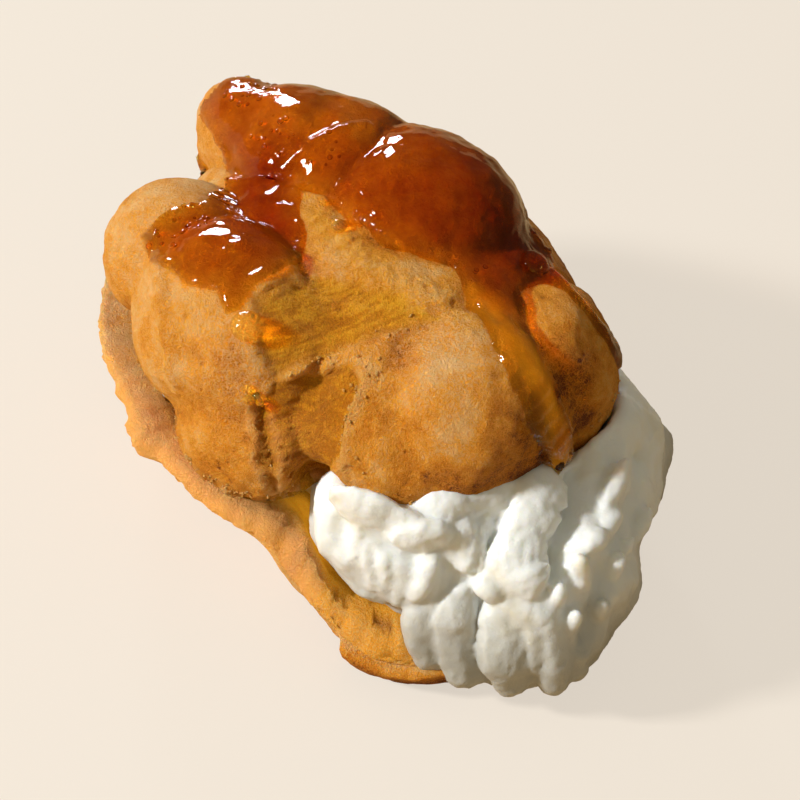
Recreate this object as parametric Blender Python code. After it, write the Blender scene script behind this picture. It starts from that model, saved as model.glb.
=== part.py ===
"""A cream puff: an oval choux bun cut through, filled with whipped cream, its lid propped open on the cream.

Sizes are in millimetres and become metres when a mesh is made. The origin is on the table, under the middle of
the whole puff's box, -Y is the front, +X is the side where the lid gapes, and +Z is up. The bun is longer one
way, and its own frame has +x along that length, towards the front right. BUN_TURN turns it into the part's.
Bearings are degrees in the part's frame, counted from +X towards +Y, so -90 is the front.
"""

import math
from functools import partial

import bmesh
import bpy
import numpy as np
from mathutils import Matrix, Vector

MM = 0.001
CLEARANCE = 0.5  # how much fatter than the crust its room in the cream is
BUN_TURN = -40.0

# Lower half: a shallow bowl with a narrow foot. Each oval is the x and y of its middle in the part's frame and
# its half sizes along and across the bun.
RIM_OVAL = ((-4.5, 1.8), (43.5, 32.0))
FOOT_OVAL = ((2.0, -2.0), (32.0, 22.5))
RIM_SWELLS = (
    (-175.0, 36.0, 3.4),
    (135.0, 36.0, -5.0),
    (-131.0, 13.0, 3.0),
    (-94.0, 12.0, -3.6),
    (-66.0, 16.0, 1.8),
)
RIM_HEIGHT = 18.0
HEIGHT_SWELLS = ((180.0, 50.0, 3.5), (-72.0, 20.0, -5.0), (-30.0, 50.0, -5.0))
WALL_CURVE = 2.1  # 1 is a straight slope from foot to rim, 2 a quarter round
CURVE_SWELLS = ((-118.0, 32.0, -0.95), (-60.0, 18.0, 0.6))
FOOT_SHARE = 0.42  # share of the outside's rows that lie on the flat foot
BASE_WALL = 5.0
BASE_FLOOR = 6.0

# Upper half: a thick domed cap. Its outside is the hull of a plain dome and of the lobes that puffed up through
# it, each with its middle and its half sizes in the lid's own frame: turned with the bun, tilted up at the right.
LID_MIDDLE = (-6.0, -0.5, 36.0)
LID_TILT = 8.0
LID_DOME = ((-1.0, 1.5, -3.0), (35.5, 27.5, 17.0))
LID_LOBES = (
    ((-20.5, -18.0, 2.5), (11.5, 11.0, 10.5)),
    ((-4.5, -19.0, 0.5), (18.0, 13.5, 15.0)),
    ((3.5, -22.5, -6.0), (13.0, 10.5, 11.0)),
    ((19.5, -1.0, -1.5), (15.0, 15.0, 14.0)),
    ((-3.0, 10.0, 4.5), (15.5, 15.0, 15.0)),
    ((-27.0, 1.5, 4.5), (16.5, 7.0, 11.0)),
    ((-16.0, 6.5, 6.5), (13.5, 11.5, 11.5)),
    ((18.5, 12.0, -4.5), (14.0, 14.0, 14.5)),
    ((-22.0, 4.0, 7.5), (12.5, 10.0, 10.0)),
)
LOBE_BLEND = 1.5
LIP_ANGLE = -21.0
LIP_DIPS = ((-40.0, 50.0, -7.5), (-135.0, 25.0, -3.5), (0.0, 25.0, 1.5), (-80.0, 20.0, 1.5))
HOLLOW_TOP = 2.0
HOLLOW_SQUARENESS = 3.0
HOLLOW_GROWTH = 1.5  # the hollow's sides slope, so it is grown by more, straight down

# Whipped cream: soft rounds that fill the bun and spill out at the front right, with a star nozzle's grooves.
CREAM_MIDDLE = (1.0, -2.5, 22.0)
CREAM_ROUNDS = (
    ((-6.0, -0.5, -1.0), (32.0, 20.5, 15.5)),
    ((19.5, 12.0, -2.5), (18.0, 19.5, 18.0)),
    ((26.0, 2.5, -9.5), (20.5, 19.0, 21.5)),
    ((17.5, -9.0, 0.0), (14.5, 16.5, 15.5)),
    ((20.0, 26.5, -12.5), (11.0, 14.0, 11.0)),
)
CREAM_BLEND = 4.0
CREAM_LOWEST = 0.6
FLUTES = 17
FLUTE_DEPTH = 2.4

# Fineness of the surfaces: points around, rings from pole to pole, and the ring, by latitude, that is the lip.
BASE_MESH = (60, 16)
BASE_FOLD = -22.5
LID_MESH = (64, 24)
LID_FOLD = -30.0
CREAM_MESH = (85, 16)

CRUST_COLOUR = (0.72, 0.42, 0.15, 1.0)
CREAM_COLOUR = (0.86, 0.87, 0.84, 1.0)


def smooth_max(a, b, blend):
    """The larger of a and b, rounded over where they meet."""
    share = np.clip(0.5 + 0.5 * (a - b) / blend, 0.0, 1.0)
    return b + (a - b) * share + blend * share * (1.0 - share)


def smoothstep(low, high, value):
    share = np.clip((value - low) / (high - low), 0.0, 1.0)
    return share * share * (3.0 - 2.0 * share)


def reach_of_round(directions, middle, half_sizes):
    """How far a round reaches from the origin in each direction, and -100 where it is missed."""
    along = directions / half_sizes
    offset = np.asarray(middle) / half_sizes
    a = (along**2).sum(axis=1)
    b = along @ offset
    hit = b**2 - a * (offset @ offset - 1.0)
    return np.where(hit > 0.0, (b + np.sqrt(np.maximum(hit, 0.0))) / a, -100.0)


def reach_of_hull(directions, rounds, blend):
    reach = np.ones(len(directions))
    for middle, half_sizes in rounds:
        reach = smooth_max(reach, reach_of_round(directions, middle, half_sizes), blend)
    return reach


def turned(points, degrees):
    """Points turned about +Z; only their first two columns change."""
    angle = math.radians(degrees)
    turn = np.array(((math.cos(angle), math.sin(angle)), (-math.sin(angle), math.cos(angle))))
    result = np.array(points, dtype=float)
    result[:, :2] = result[:, :2] @ turn
    return result


def oval_reach(bearing, oval):
    """The reach in plan, from the oval's own middle, towards each bearing of the part's frame."""
    plan = np.column_stack([np.cos(bearing), np.sin(bearing)])
    return reach_of_round(turned(plan, -BUN_TURN), (0.0, 0.0), oval[1])


def swells(bearing, table):
    """Sum of smooth bumps round the bun, each (bearing, half width, height)."""
    total = np.zeros_like(bearing)
    for middle, width, height in table:
        gap = (bearing - math.radians(middle) + math.pi) % (2.0 * math.pi) - math.pi
        total += height * np.exp(-((gap / math.radians(width)) ** 2))
    return total


def folded(directions, fold, upwards):
    """Parts a ball's points into an outside and an inside, at a fold below (or above) its middle.

    Gives each point's bearing, whether it is outside, and how far it is from its pole (0) to the fold (1)."""
    bearing = np.arctan2(directions[:, 1], directions[:, 0])
    latitude = np.arcsin(np.clip(directions[:, 2], -1.0, 1.0)) * (1.0 if upwards else -1.0)
    edge = math.radians(fold)
    outside = latitude > edge - 0.001
    to_pole = np.where(outside, math.pi / 2.0 - latitude, math.pi / 2.0 + latitude)
    whole = np.where(outside, math.pi / 2.0 - edge, math.pi / 2.0 + edge)
    return bearing, outside, to_pole / whole


def base_points(directions, grown=0.0):
    """The bowl: a flat foot, a wall that swells out to the rim, a rounded lip and a hollow.

    With `grown` it is that much fatter all over, to cut its room out of the cream."""
    bearing, outside, part = folded(directions, BASE_FOLD, upwards=False)
    plan = np.column_stack([np.cos(bearing), np.sin(bearing)])
    rim_reach = oval_reach(bearing, RIM_OVAL) + swells(bearing, RIM_SWELLS) + grown
    rim_middle = np.asarray(RIM_OVAL[0])
    rim = rim_middle + plan * rim_reach[:, None]
    foot_middle = np.asarray(FOOT_OVAL[0])
    foot = foot_middle + plan * (oval_reach(bearing, FOOT_OVAL) + grown)[:, None]
    height = RIM_HEIGHT + swells(bearing, HEIGHT_SWELLS)

    climb = np.clip((part - FOOT_SHARE) / (1.0 - FOOT_SHARE), 0.0, 1.0) * math.pi / 2.0
    on_foot = np.clip(part / FOOT_SHARE, 0.0, 1.0)[:, None]
    lift = 1.0 - np.cos(climb)
    curve = WALL_CURVE + swells(bearing, CURVE_SWELLS)
    spread = (1.0 - (1.0 - lift) ** curve) ** (1.0 / curve)
    outer = foot_middle + (foot - foot_middle) * on_foot + (rim - foot) * spread[:, None]
    outer_height = (height + 2.0 * grown) * lift - grown

    dip = part * math.pi / 2.0
    wall = (BASE_WALL + 2.0 * grown) * smoothstep(1.0, 0.92, part)
    inner_reach = (rim_reach - wall) * np.sin(dip)
    inner = rim_middle + plan * inner_reach[:, None]
    inner_height = BASE_FLOOR + grown + (height - BASE_FLOOR) * (1.0 - np.cos(dip)) ** 0.8

    plan_of = np.where(outside[:, None], outer, inner)
    return np.column_stack([plan_of, np.where(outside, outer_height, inner_height)])


def lid_points(directions, grown=0.0):
    """The cap in its own frame: the lobed dome outside, and beneath it a hollow that rises from the lip."""
    bearing, outside, part = folded(directions, LID_FOLD, upwards=True)
    plan = np.column_stack([np.cos(bearing), np.sin(bearing)])
    lip = np.radians(LIP_ANGLE + swells(bearing + math.radians(BUN_TURN), LIP_DIPS))
    latitude = np.where(outside, math.pi / 2.0 - part * (math.pi / 2.0 - lip), lip)
    rays = np.column_stack([plan * np.cos(latitude)[:, None], np.sin(latitude)])
    reach = reach_of_hull(rays, (LID_DOME,) + LID_LOBES, LOBE_BLEND)
    outer = rays * (reach + grown * outside)[:, None]
    outer[:, 2] -= grown * np.where(outside, part**4, HOLLOW_GROWTH)

    sink = np.sin(part * math.pi / 2.0)
    edge_share = sink**HOLLOW_SQUARENESS
    inner_height = outer[:, 2] * edge_share + (HOLLOW_TOP - HOLLOW_GROWTH * grown) * (1.0 - edge_share)
    inner = np.column_stack([outer[:, :2] * sink[:, None], inner_height])
    return np.where(outside[:, None], outer, inner)


def cream_points(directions):
    """Soft rounds with grooves that wind down them, flattened where they meet the table."""
    bearing = np.arctan2(directions[:, 1], directions[:, 0])
    reach = reach_of_hull(directions, CREAM_ROUNDS, CREAM_BLEND)
    groove = np.abs(np.sin(FLUTES * (bearing + 0.9 * directions[:, 2]) / 2.0)) ** 0.7
    fade = np.sqrt(np.clip(1.0 - directions[:, 2] ** 2, 0.0, 1.0))
    points = directions * (reach - FLUTE_DEPTH * (1.0 - groove) * fade)[:, None]
    points[:, 2] = smooth_max(points[:, 2], CREAM_LOWEST - CREAM_MIDDLE[2], 1.0)
    return points


def make_material(name, colour, roughness):
    material = bpy.data.materials.new(name)
    material.use_nodes = True
    shader = material.node_tree.nodes["Principled BSDF"]
    shader.inputs["Base Color"].default_value = colour
    shader.inputs["Roughness"].default_value = roughness
    shader.inputs["Metallic"].default_value = 0.0
    return material


def make_object(name, fineness, shape, material, collection, matrix):
    """Moves a ball's points to a shape in millimetres, and makes it an object in metres."""
    skin = bmesh.new()
    bmesh.ops.create_uvsphere(skin, u_segments=fineness[0], v_segments=fineness[1], radius=1.0)
    directions = np.array([vertex.co[:] for vertex in skin.verts])
    for vertex, point in zip(skin.verts, shape(directions) * MM):
        vertex.co = matrix @ Vector(point)
    bmesh.ops.recalc_face_normals(skin, faces=skin.faces)
    mesh = bpy.data.meshes.new(name)
    skin.to_mesh(mesh)
    skin.free()
    mesh.materials.append(material)
    mesh.shade_smooth()
    made = bpy.data.objects.new(name, mesh)
    collection.objects.link(made)
    return made


def bun_frame(middle, tilt):
    """Places a shape made in the bun's own frame, tilted up at the right."""
    tilting = Matrix.Rotation(math.radians(-tilt), 4, "Y")
    return Matrix.Translation(Vector(middle) * MM) @ tilting @ Matrix.Rotation(math.radians(BUN_TURN), 4, "Z")


def cut(target, cutter):
    cutter.hide_render = True
    cutter.display_type = "WIRE"
    boolean = target.modifiers.new(cutter.name, "BOOLEAN")
    boolean.operation = "DIFFERENCE"
    boolean.solver = "EXACT"
    boolean.object = cutter


def main():
    for old in list(bpy.data.objects):
        bpy.data.objects.remove(old)
    parts = bpy.data.collections.new("cream_puff")
    cutters = bpy.data.collections.new("cutters")
    bpy.context.scene.collection.children.link(parts)
    bpy.context.scene.collection.children.link(cutters)
    crust = make_material("baked_choux", CRUST_COLOUR, 0.6)
    cream = make_material("whipped_cream", CREAM_COLOUR, 0.5)
    bun = Matrix.Identity(4)
    tilted = bun_frame(LID_MIDDLE, LID_TILT)
    filled = bun_frame(CREAM_MIDDLE, 0.0)
    make_object("choux_base", BASE_MESH, base_points, crust, parts, bun)
    make_object("choux_lid", LID_MESH, lid_points, crust, parts, tilted)
    filling = make_object("whipped_cream", CREAM_MESH, cream_points, cream, parts, filled)
    base_room = partial(base_points, grown=CLEARANCE)
    lid_room = partial(lid_points, grown=CLEARANCE)
    cut(filling, make_object("room_for_base", BASE_MESH, base_room, cream, cutters, bun))
    cut(filling, make_object("room_for_lid", LID_MESH, lid_room, cream, cutters, tilted))


main()
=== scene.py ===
"""Builds the looks of a caramel-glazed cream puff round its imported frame.

The frame's origin is on the table under the middle of the puff, -Y is the front, +X the side where the cream spills
out, and +Z is up. Meshes are in metres. Tables of places and sizes are in millimetres in the same frame, and bearings
are degrees counted from +X towards +Y, so -90 is the front.
"""

import math

import bmesh
import bpy
import numpy as np
from bpy.props import FloatProperty, FloatVectorProperty, PointerProperty
from bpy.types import Operator, Panel, PropertyGroup
from mathutils import Matrix, Vector
from mathutils.bvhtree import BVHTree


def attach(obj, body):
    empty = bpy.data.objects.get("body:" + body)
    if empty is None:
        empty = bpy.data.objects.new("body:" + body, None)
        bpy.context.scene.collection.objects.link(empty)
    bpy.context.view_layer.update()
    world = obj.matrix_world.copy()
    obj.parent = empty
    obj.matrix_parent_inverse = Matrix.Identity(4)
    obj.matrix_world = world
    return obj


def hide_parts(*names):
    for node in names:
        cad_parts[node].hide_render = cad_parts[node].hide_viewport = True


bl_info = {
    "name": "Cream Puff",
    "version": (1, 0, 0),
    "blender": (4, 5, 0),
    "location": "3D View > Sidebar > Cream Puff",
    "description": "Builds a cream puff: torn choux shells, piped cream, caramel and its stage",
    "category": "Add Mesh",
}

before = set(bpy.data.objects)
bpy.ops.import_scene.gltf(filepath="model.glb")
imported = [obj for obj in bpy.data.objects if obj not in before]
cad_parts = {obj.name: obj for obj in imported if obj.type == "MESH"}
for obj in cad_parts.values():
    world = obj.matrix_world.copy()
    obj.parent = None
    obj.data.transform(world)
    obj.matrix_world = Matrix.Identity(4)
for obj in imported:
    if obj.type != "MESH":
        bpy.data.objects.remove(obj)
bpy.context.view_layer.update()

MM = 0.001
BASE_GRID = (420, 192)  # columns and rows of vertices on the lower shell
LID_GRID = (384, 216)
CREAM_MIDDLE = (1.0, -2.5, 22.0)
BUN_TURN = -40.0

RIM_OVAL = ((-4.5, 1.8), (43.5, 32.0))
FOOT_OVAL = ((2.0, -2.0), (32.0, 22.5))
RIM_SWELLS = (
    (-175.0, 36.0, 3.4),
    (135.0, 36.0, -5.0),
    (-131.0, 13.0, 3.0),
    (-94.0, 12.0, -3.6),
    (-66.0, 16.0, 1.8),
)
RIM_HEIGHT = 18.0
HEIGHT_SWELLS = ((180.0, 50.0, 3.5), (-72.0, 20.0, -5.0), (-30.0, 50.0, -5.0))
WALL_CURVE = 2.1
CURVE_SWELLS = ((-118.0, 32.0, -0.95), (-60.0, 18.0, 0.6))
FOOT_SHARE = 0.42
BASE_WALL = 5.0
WALL_SWELLS = ((-133.0, 16.0, 1.6), (-104.0, 14.0, 0.8), (-88.0, 7.0, -2.8), (-66.0, 14.0, 1.6),
    (160.0, 40.0, 1.5))

# The lower shell's torn rim: a thick tongue that ends in a point, then a lower rim, and a fold at the left end.
TONGUE_END = -84.0
FRONT_RIM = (-80.0, -42.0)
RIM_DROP = 1.4
SIDE_FOLD = (-136.0, 1.0, 1.3)
LOW_BULGE = (-78.0, 2.0)
BASE_FLOOR = 6.0
BASE_FOLD = -22.5

LID_MIDDLE = (-6.0, -0.5, 36.0)
LID_TILT = 8.0
LID_DOME = ((-1.0, 1.5, -3.0), (35.5, 27.5, 17.0))
LID_LOBES = (
    ((-20.5, -18.0, 2.5), (11.5, 11.0, 10.5)),
    ((-4.5, -19.0, 0.5), (18.0, 13.5, 15.0)),
    ((3.5, -22.5, -6.0), (13.0, 10.5, 11.0)),
    ((19.5, -1.0, -1.5), (15.0, 15.0, 14.0)),
    ((-3.0, 10.0, 4.5), (15.5, 15.0, 15.0)),
    ((-27.0, 1.5, 4.5), (16.5, 7.0, 11.0)),
    ((-16.0, 6.5, 6.5), (13.5, 11.5, 11.5)),
    ((18.5, 12.0, -4.5), (14.0, 14.0, 14.5)),
    ((-22.0, 4.0, 7.5), (12.5, 10.0, 10.0)),
)
LIP_ANGLE = -21.0
LIP_DIPS = ((-40.0, 50.0, -7.5), (-135.0, 25.0, -3.5), (0.0, 25.0, 1.5), (-80.0, 20.0, 1.5))
LID_FOLD = -30.0
HOLLOW_TOP = 2.0
HOLLOW_SQUARENESS = 3.0

# Where the lid's crust split as it baked. Outlines are closed loops of places on the crust.
UPPER_TEAR = (
    (-20.5, -18.0, 48.0),
    (-17.5, -14.0, 48.5),
    (-14.0, -10.0, 48.0),
    (-8.5, -9.5, 48.5),
    (-2.0, -10.5, 49.5),
    (3.5, -12.5, 50.0),
    (-1.0, -15.3, 48.5),
    (-6.5, -18.6, 46.0),
    (-11.0, -21.8, 44.0),
    (-14.5, -25.5, 42.0),
    (-18.0, -23.0, 45.0),
)
LOWER_TEAR = (
    (-14.5, -25.3, 42.0),
    (-10.0, -22.5, 43.0),
    (-6.0, -20.5, 45.0),
    (-3.8, -22.5, 44.2),
    (-4.5, -25.5, 41.0),
    (-4.3, -28.0, 37.0),
    (-3.5, -28.8, 31.0),
    (-7.0, -29.5, 27.0),
    (-11.0, -30.5, 25.5),
    (-11.8, -30.8, 29.5),
    (-12.8, -30.4, 32.8),
    (-14.2, -29.2, 35.5),
    (-15.6, -27.8, 38.5),
)
CREST = ((-17.0, 0.0, 47.8), (-13.0, -3.0, 48.5), (-8.5, -6.2, 49.2), (-2.7, -8.6, 49.7), (3.0, -10.2, 49.9),
    (7.6, -13.2, 50.4))
FLAP_EDGE = ((-15.0, -25.6, 42.0), (-11.0, -21.8, 44.0), (-6.5, -18.6, 46.0), (-1.0, -15.3, 48.5),
    (1.5, -13.8, 49.2))
FUZZY_SHOULDER = ((-18.0, -24.0, 43.0), 7.0)
POOL = ((-21.5, -5.0, 46.0), 7.0)
DEEP_TEAR = (((-6.0, -25.0, 41.0), 3.2), ((-6.2, -27.5, 36.5), 3.0), ((-9.0, -23.5, 42.6), 2.0))
LOBE_EDGE = ((-2.0, -19.5, 46.0), (-3.6, -22.0, 44.5), (-4.0, -24.8, 42.2), (-4.3, -26.6, 40.0),
    (-3.5, -28.4, 37.0), (-2.0, -29.3, 33.5))
CRACK = ((-16.3, -26.6, 40.0), (-15.2, -28.0, 37.5), (-14.0, -29.0, 35.5), (-12.8, -30.2, 32.8),
    (-11.8, -30.6, 29.5), (-11.0, -30.5, 27.5))
FELT_BULGE = ((-10.6, -28.6, 34.5), 4.2)
LOBE_CHIN = ((7.5, -29.0, 31.0), 7.5)
NOTCH = ((-5.0, -28.0, 28.5), 3.4)
SOFT_VALLEYS = (((-33.5, -13.0, 38.5), 8.0), ((-24.5, -25.5, 35.5), 7.0), ((-12.5, -25.0, 42.0), 4.0))
SIDE_RIDGE = ((-37.0, -7.5, 42.3), (-32.5, -16.3, 43.0), (-30.0, -20.9, 41.0), (-27.5, -24.4, 35.6))

# Where caramel lies on the lid: one outline round the pool, the crown, the back lobe and the long run, and thin
# runs, each a path and how far they reach to either side of it.
CARAMEL_OUTLINE = (
    (-38.0, -7.5, 41.6),
    (-34.5, -12.0, 43.0),
    (-29.0, -17.0, 46.0),
    (-25.5, -17.8, 47.2),
    (-23.4, -20.4, 46.8),
    (-21.8, -19.6, 47.5),
    (-21.0, -16.5, 48.6),
    (-19.0, -13.5, 48.8),
    (-16.6, -8.8, 47.8),
    (-16.7, -3.9, 47.4),
    (-19.0, 2.0, 47.1),
    (-19.8, 5.6, 47.4),
    (-16.9, 5.0, 48.2),
    (-12.9, 1.5, 49.3),
    (-7.1, -2.6, 50.1),
    (-2.9, -3.2, 50.5),
    (1.0, -3.0, 50.6),
    (3.4, -3.6, 50.5),
    (6.4, -8.4, 49.9),
    (10.8, -15.0, 50.1),
    (14.9, -19.5, 47.8),
    (18.8, -21.4, 43.4),
    (22.2, -20.3, 37.5),
    (24.2, -18.3, 34.5),
    (25.0, -16.0, 37.8),
    (21.6, -15.2, 43.9),
    (18.2, -13.3, 47.2),
    (15.0, -7.4, 48.6),
    (12.7, -2.4, 49.0),
    (14.4, 0.0, 48.7),
    (17.2, 3.6, 47.3),
    (16.0, 8.0, 47.0),
    (12.8, 12.0, 46.3),
    (9.0, 17.0, 46.0),
    (3.0, 22.5, 45.5),
    (-5.0, 26.0, 44.5),
    (-14.0, 28.0, 44.5),
    (-24.0, 30.5, 43.0),
    (-33.0, 28.0, 41.5),
    (-38.2, 21.5, 41.0),
    (-34.8, 17.3, 40.8),
    (-32.6, 14.6, 41.0),
    (-30.2, 9.8, 41.8),
    (-30.6, 5.0, 43.4),
    (-32.2, -0.6, 44.9),
    (-36.2, -4.4, 43.5),
)
CARAMEL_RUNS = (
    ((16.0, 2.9, 47.8), (20.4, -0.2, 47.8), (24.8, -1.8, 45.6), (27.0, -1.0, 43.3), (28.3, -0.4, 39.5)),
    ((-12.5, -0.2, 49.0), (-13.3, -1.5, 48.8)),
)
RUN_DOWN = ((4.6, -1.5, 51.0), (8.5, -7.0, 49.9), (13.0, -12.5, 49.4), (17.5, -17.0, 47.0),
    (21.8, -18.6, 41.5), (23.8, -18.2, 36.0))
RUN_REACHES = ((1.6, 0.8, 0.9, 1.7, 1.9), (0.4, 0.4))
SUGAR_LIP = ((-30.3, 7.7, 42.0), (-27.4, 6.9, 43.2), (-24.8, 6.7, 44.7), (-23.0, 7.9, 47.0),
    (-21.4, 9.3, 49.1), (-19.1, 10.8, 51.2), (-16.8, 12.7, 52.4), (-13.8, 14.6, 52.8))
BIG_BUBBLE = ((13.8, 3.2, 49.0), 2.3)
FROTHY = (((-34.0, -5.5, 44.0), 4.5), ((-25.0, 12.5, 47.5), 3.5), ((-31.5, 23.0, 49.5), 5.0),
    ((-18.0, 10.0, 50.5), 2.5), ((7.5, -3.0, 50.5), 1.6))
DARK_POOLS = (
    ((-22.5, -4.0, 45.5), 9.0, 0.6),
    ((-25.5, 8.5, 45.0), 4.5, 0.55),
    ((-31.0, 20.0, 49.0), 9.0, 0.1),
    ((22.5, -18.5, 39.0), 3.5, 0.4),
    ((13.6, 3.5, 48.4), 5.0, 0.5),
    ((4.0, 7.0, 51.5), 17.0, 0.58),
    ((27.5, -0.8, 42.0), 4.0, 0.5),
)


def smooth_max(a, b, blend):
    """The larger of a and b, rounded over where they meet."""
    share = np.clip(0.5 + 0.5 * (a - b) / blend, 0.0, 1.0)
    return b + (a - b) * share + blend * share * (1.0 - share)


def smoothstep(low, high, value):
    share = np.clip((value - low) / (high - low), 0.0, 1.0)
    return share * share * (3.0 - 2.0 * share)


def reach_of_round(directions, middle, half_sizes):
    along = directions / half_sizes
    offset = np.asarray(middle) / half_sizes
    a = (along**2).sum(axis=1)
    b = along @ offset
    hit = b**2 - a * (offset @ offset - 1.0)
    return np.where(hit > 0.0, (b + np.sqrt(np.maximum(hit, 0.0))) / a, -100.0)


def turned(points, degrees):
    angle = math.radians(degrees)
    turn = np.array(((math.cos(angle), math.sin(angle)), (-math.sin(angle), math.cos(angle))))
    result = np.array(points, dtype=float)
    result[:, :2] = result[:, :2] @ turn
    return result


def oval_reach(bearing, oval):
    plan = np.column_stack([np.cos(bearing), np.sin(bearing)])
    return reach_of_round(turned(plan, -BUN_TURN), (0.0, 0.0), oval[1])


def swells(bearing, table):
    total = np.zeros_like(bearing)
    for middle, width, height in table:
        gap = (bearing - math.radians(middle) + math.pi) % (2.0 * math.pi) - math.pi
        total += height * np.exp(-((gap / math.radians(width)) ** 2))
    return total


def folded(directions, fold, upwards):
    bearing = np.arctan2(directions[:, 1], directions[:, 0])
    latitude = np.arcsin(np.clip(directions[:, 2], -1.0, 1.0)) * (1.0 if upwards else -1.0)
    edge = math.radians(fold)
    outside = latitude > edge - 0.001
    to_pole = np.where(outside, math.pi / 2.0 - latitude, math.pi / 2.0 + latitude)
    whole = np.where(outside, math.pi / 2.0 - edge, math.pi / 2.0 + edge)
    return bearing, outside, to_pole / whole


def base_form(directions):
    """The lower shell in mm, with each point's bearing, side and share of the way from pole to lip."""
    bearing, outside, part = folded(directions, BASE_FOLD, upwards=False)
    plan = np.column_stack([np.cos(bearing), np.sin(bearing)])
    rim_reach = oval_reach(bearing, RIM_OVAL) + swells(bearing, RIM_SWELLS)
    rim_middle = np.asarray(RIM_OVAL[0])
    rim = rim_middle + plan * rim_reach[:, None]
    foot_middle = np.asarray(FOOT_OVAL[0])
    foot = foot_middle + plan * oval_reach(bearing, FOOT_OVAL)[:, None]
    height = RIM_HEIGHT + swells(bearing, HEIGHT_SWELLS)

    climb = np.clip((part - FOOT_SHARE) / (1.0 - FOOT_SHARE), 0.0, 1.0) * math.pi / 2.0
    on_foot = np.clip(part / FOOT_SHARE, 0.0, 1.0)[:, None]
    lift = 1.0 - np.cos(climb)
    curve = WALL_CURVE + swells(bearing, CURVE_SWELLS)
    spread = (1.0 - (1.0 - lift) ** curve) ** (1.0 / curve)
    outer = foot_middle + (foot - foot_middle) * on_foot + (rim - foot) * spread[:, None]

    dip = part * math.pi / 2.0
    wall = (BASE_WALL + swells(bearing, WALL_SWELLS)) * smoothstep(1.0, 0.94, part)
    inner = rim_middle + plan * ((rim_reach - wall) * np.sin(dip))[:, None]
    inner_height = BASE_FLOOR + (height - BASE_FLOOR) * (1.0 - np.cos(dip)) ** 0.55
    plan_of = np.where(outside[:, None], outer, inner)
    points = np.column_stack([plan_of, np.where(outside, height * lift, inner_height)])
    return points, bearing, outside, part


def lid_form(directions, blend):
    """The lid in mm, in the frame, with each point's side, share from pole to lip and nearness to a crease."""
    bearing, outside, part = folded(directions, LID_FOLD, upwards=True)
    plan = np.column_stack([np.cos(bearing), np.sin(bearing)])
    lip = np.radians(LIP_ANGLE + swells(bearing + math.radians(BUN_TURN), LIP_DIPS))
    latitude = np.where(outside, math.pi / 2.0 - part * (math.pi / 2.0 - lip), lip)
    rays = np.column_stack([plan * np.cos(latitude)[:, None], np.sin(latitude)])
    reaches = np.array([reach_of_round(rays, *lobe) for lobe in (LID_DOME,) + LID_LOBES])
    reach = reaches[0]
    for lobe in reaches[1:]:
        reach = smooth_max(reach, np.maximum(lobe, 0.0), blend)
    outer = rays * reach[:, None]
    sink = np.sin(part * math.pi / 2.0)
    edge_share = sink**HOLLOW_SQUARENESS
    inner_height = outer[:, 2] * edge_share + HOLLOW_TOP * (1.0 - edge_share)
    inner = np.column_stack([outer[:, :2] * sink[:, None], inner_height])
    local = np.where(outside[:, None], outer, inner)
    ranked = np.sort(reaches, axis=0)
    crease = np.exp(-(((ranked[-1] - ranked[-2]) / 1.3) ** 2)) * outside
    tilt = Matrix.Rotation(math.radians(-LID_TILT), 3, "Y") @ Matrix.Rotation(math.radians(BUN_TURN), 3, "Z")
    return local @ np.array(tilt).T + LID_MIDDLE, outside, part, crease


def lattice_noise(points, seed):
    """Smooth random values from about -1 to 1, which change over a distance of about 1."""
    cell = np.floor(points).astype(np.int64)
    inside = points - cell
    fade = inside**3 * (inside * (inside * 6.0 - 15.0) + 10.0)
    total = np.zeros(len(points))
    for corner in np.ndindex(2, 2, 2):
        at = cell + corner
        mixed = (at[:, 0] * 73856093) ^ (at[:, 1] * 19349663) ^ (at[:, 2] * 83492791) ^ (seed * 7919)
        mixed = (mixed ^ (mixed >> 13)) * 1274126177 & 0x7FFFFFFF
        mixed = (mixed ^ (mixed >> 15)) * 668265263 & 0x3FFFFFFF
        pull = np.zeros(len(points))
        weight = np.ones(len(points))
        for axis in range(3):
            slope = ((mixed >> (10 * axis)) & 1023) / 511.5 - 1.0
            pull += slope * (inside[:, axis] - corner[axis])
            weight *= fade[:, axis] if corner[axis] else 1.0 - fade[:, axis]
        total += pull * weight
    return total * 1.6


def lumps(points, size, seed, octaves=3):
    """Smooth random lumps of about a size in mm, from about -1 to 1."""
    total = np.zeros(len(points))
    for octave in range(octaves):
        total += lattice_noise(points / size * 2.0**octave + seed * 1.37, seed + octave) * 0.5**octave
    return total


def ridges(points, size, seed, octaves=2):
    """Sharp random ridges, 1 along their crests and falling to 0 between them."""
    return 1.0 - np.minimum(np.abs(lumps(points, size, seed, octaves)) * 2.2, 1.0)


def stretched(points, along, factor):
    """Points squeezed along one direction, so that a pattern on them comes out drawn along it."""
    axis = np.asarray(along) / np.linalg.norm(along)
    return points - np.outer(points @ axis, axis) * (1.0 - 1.0 / factor)


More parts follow.
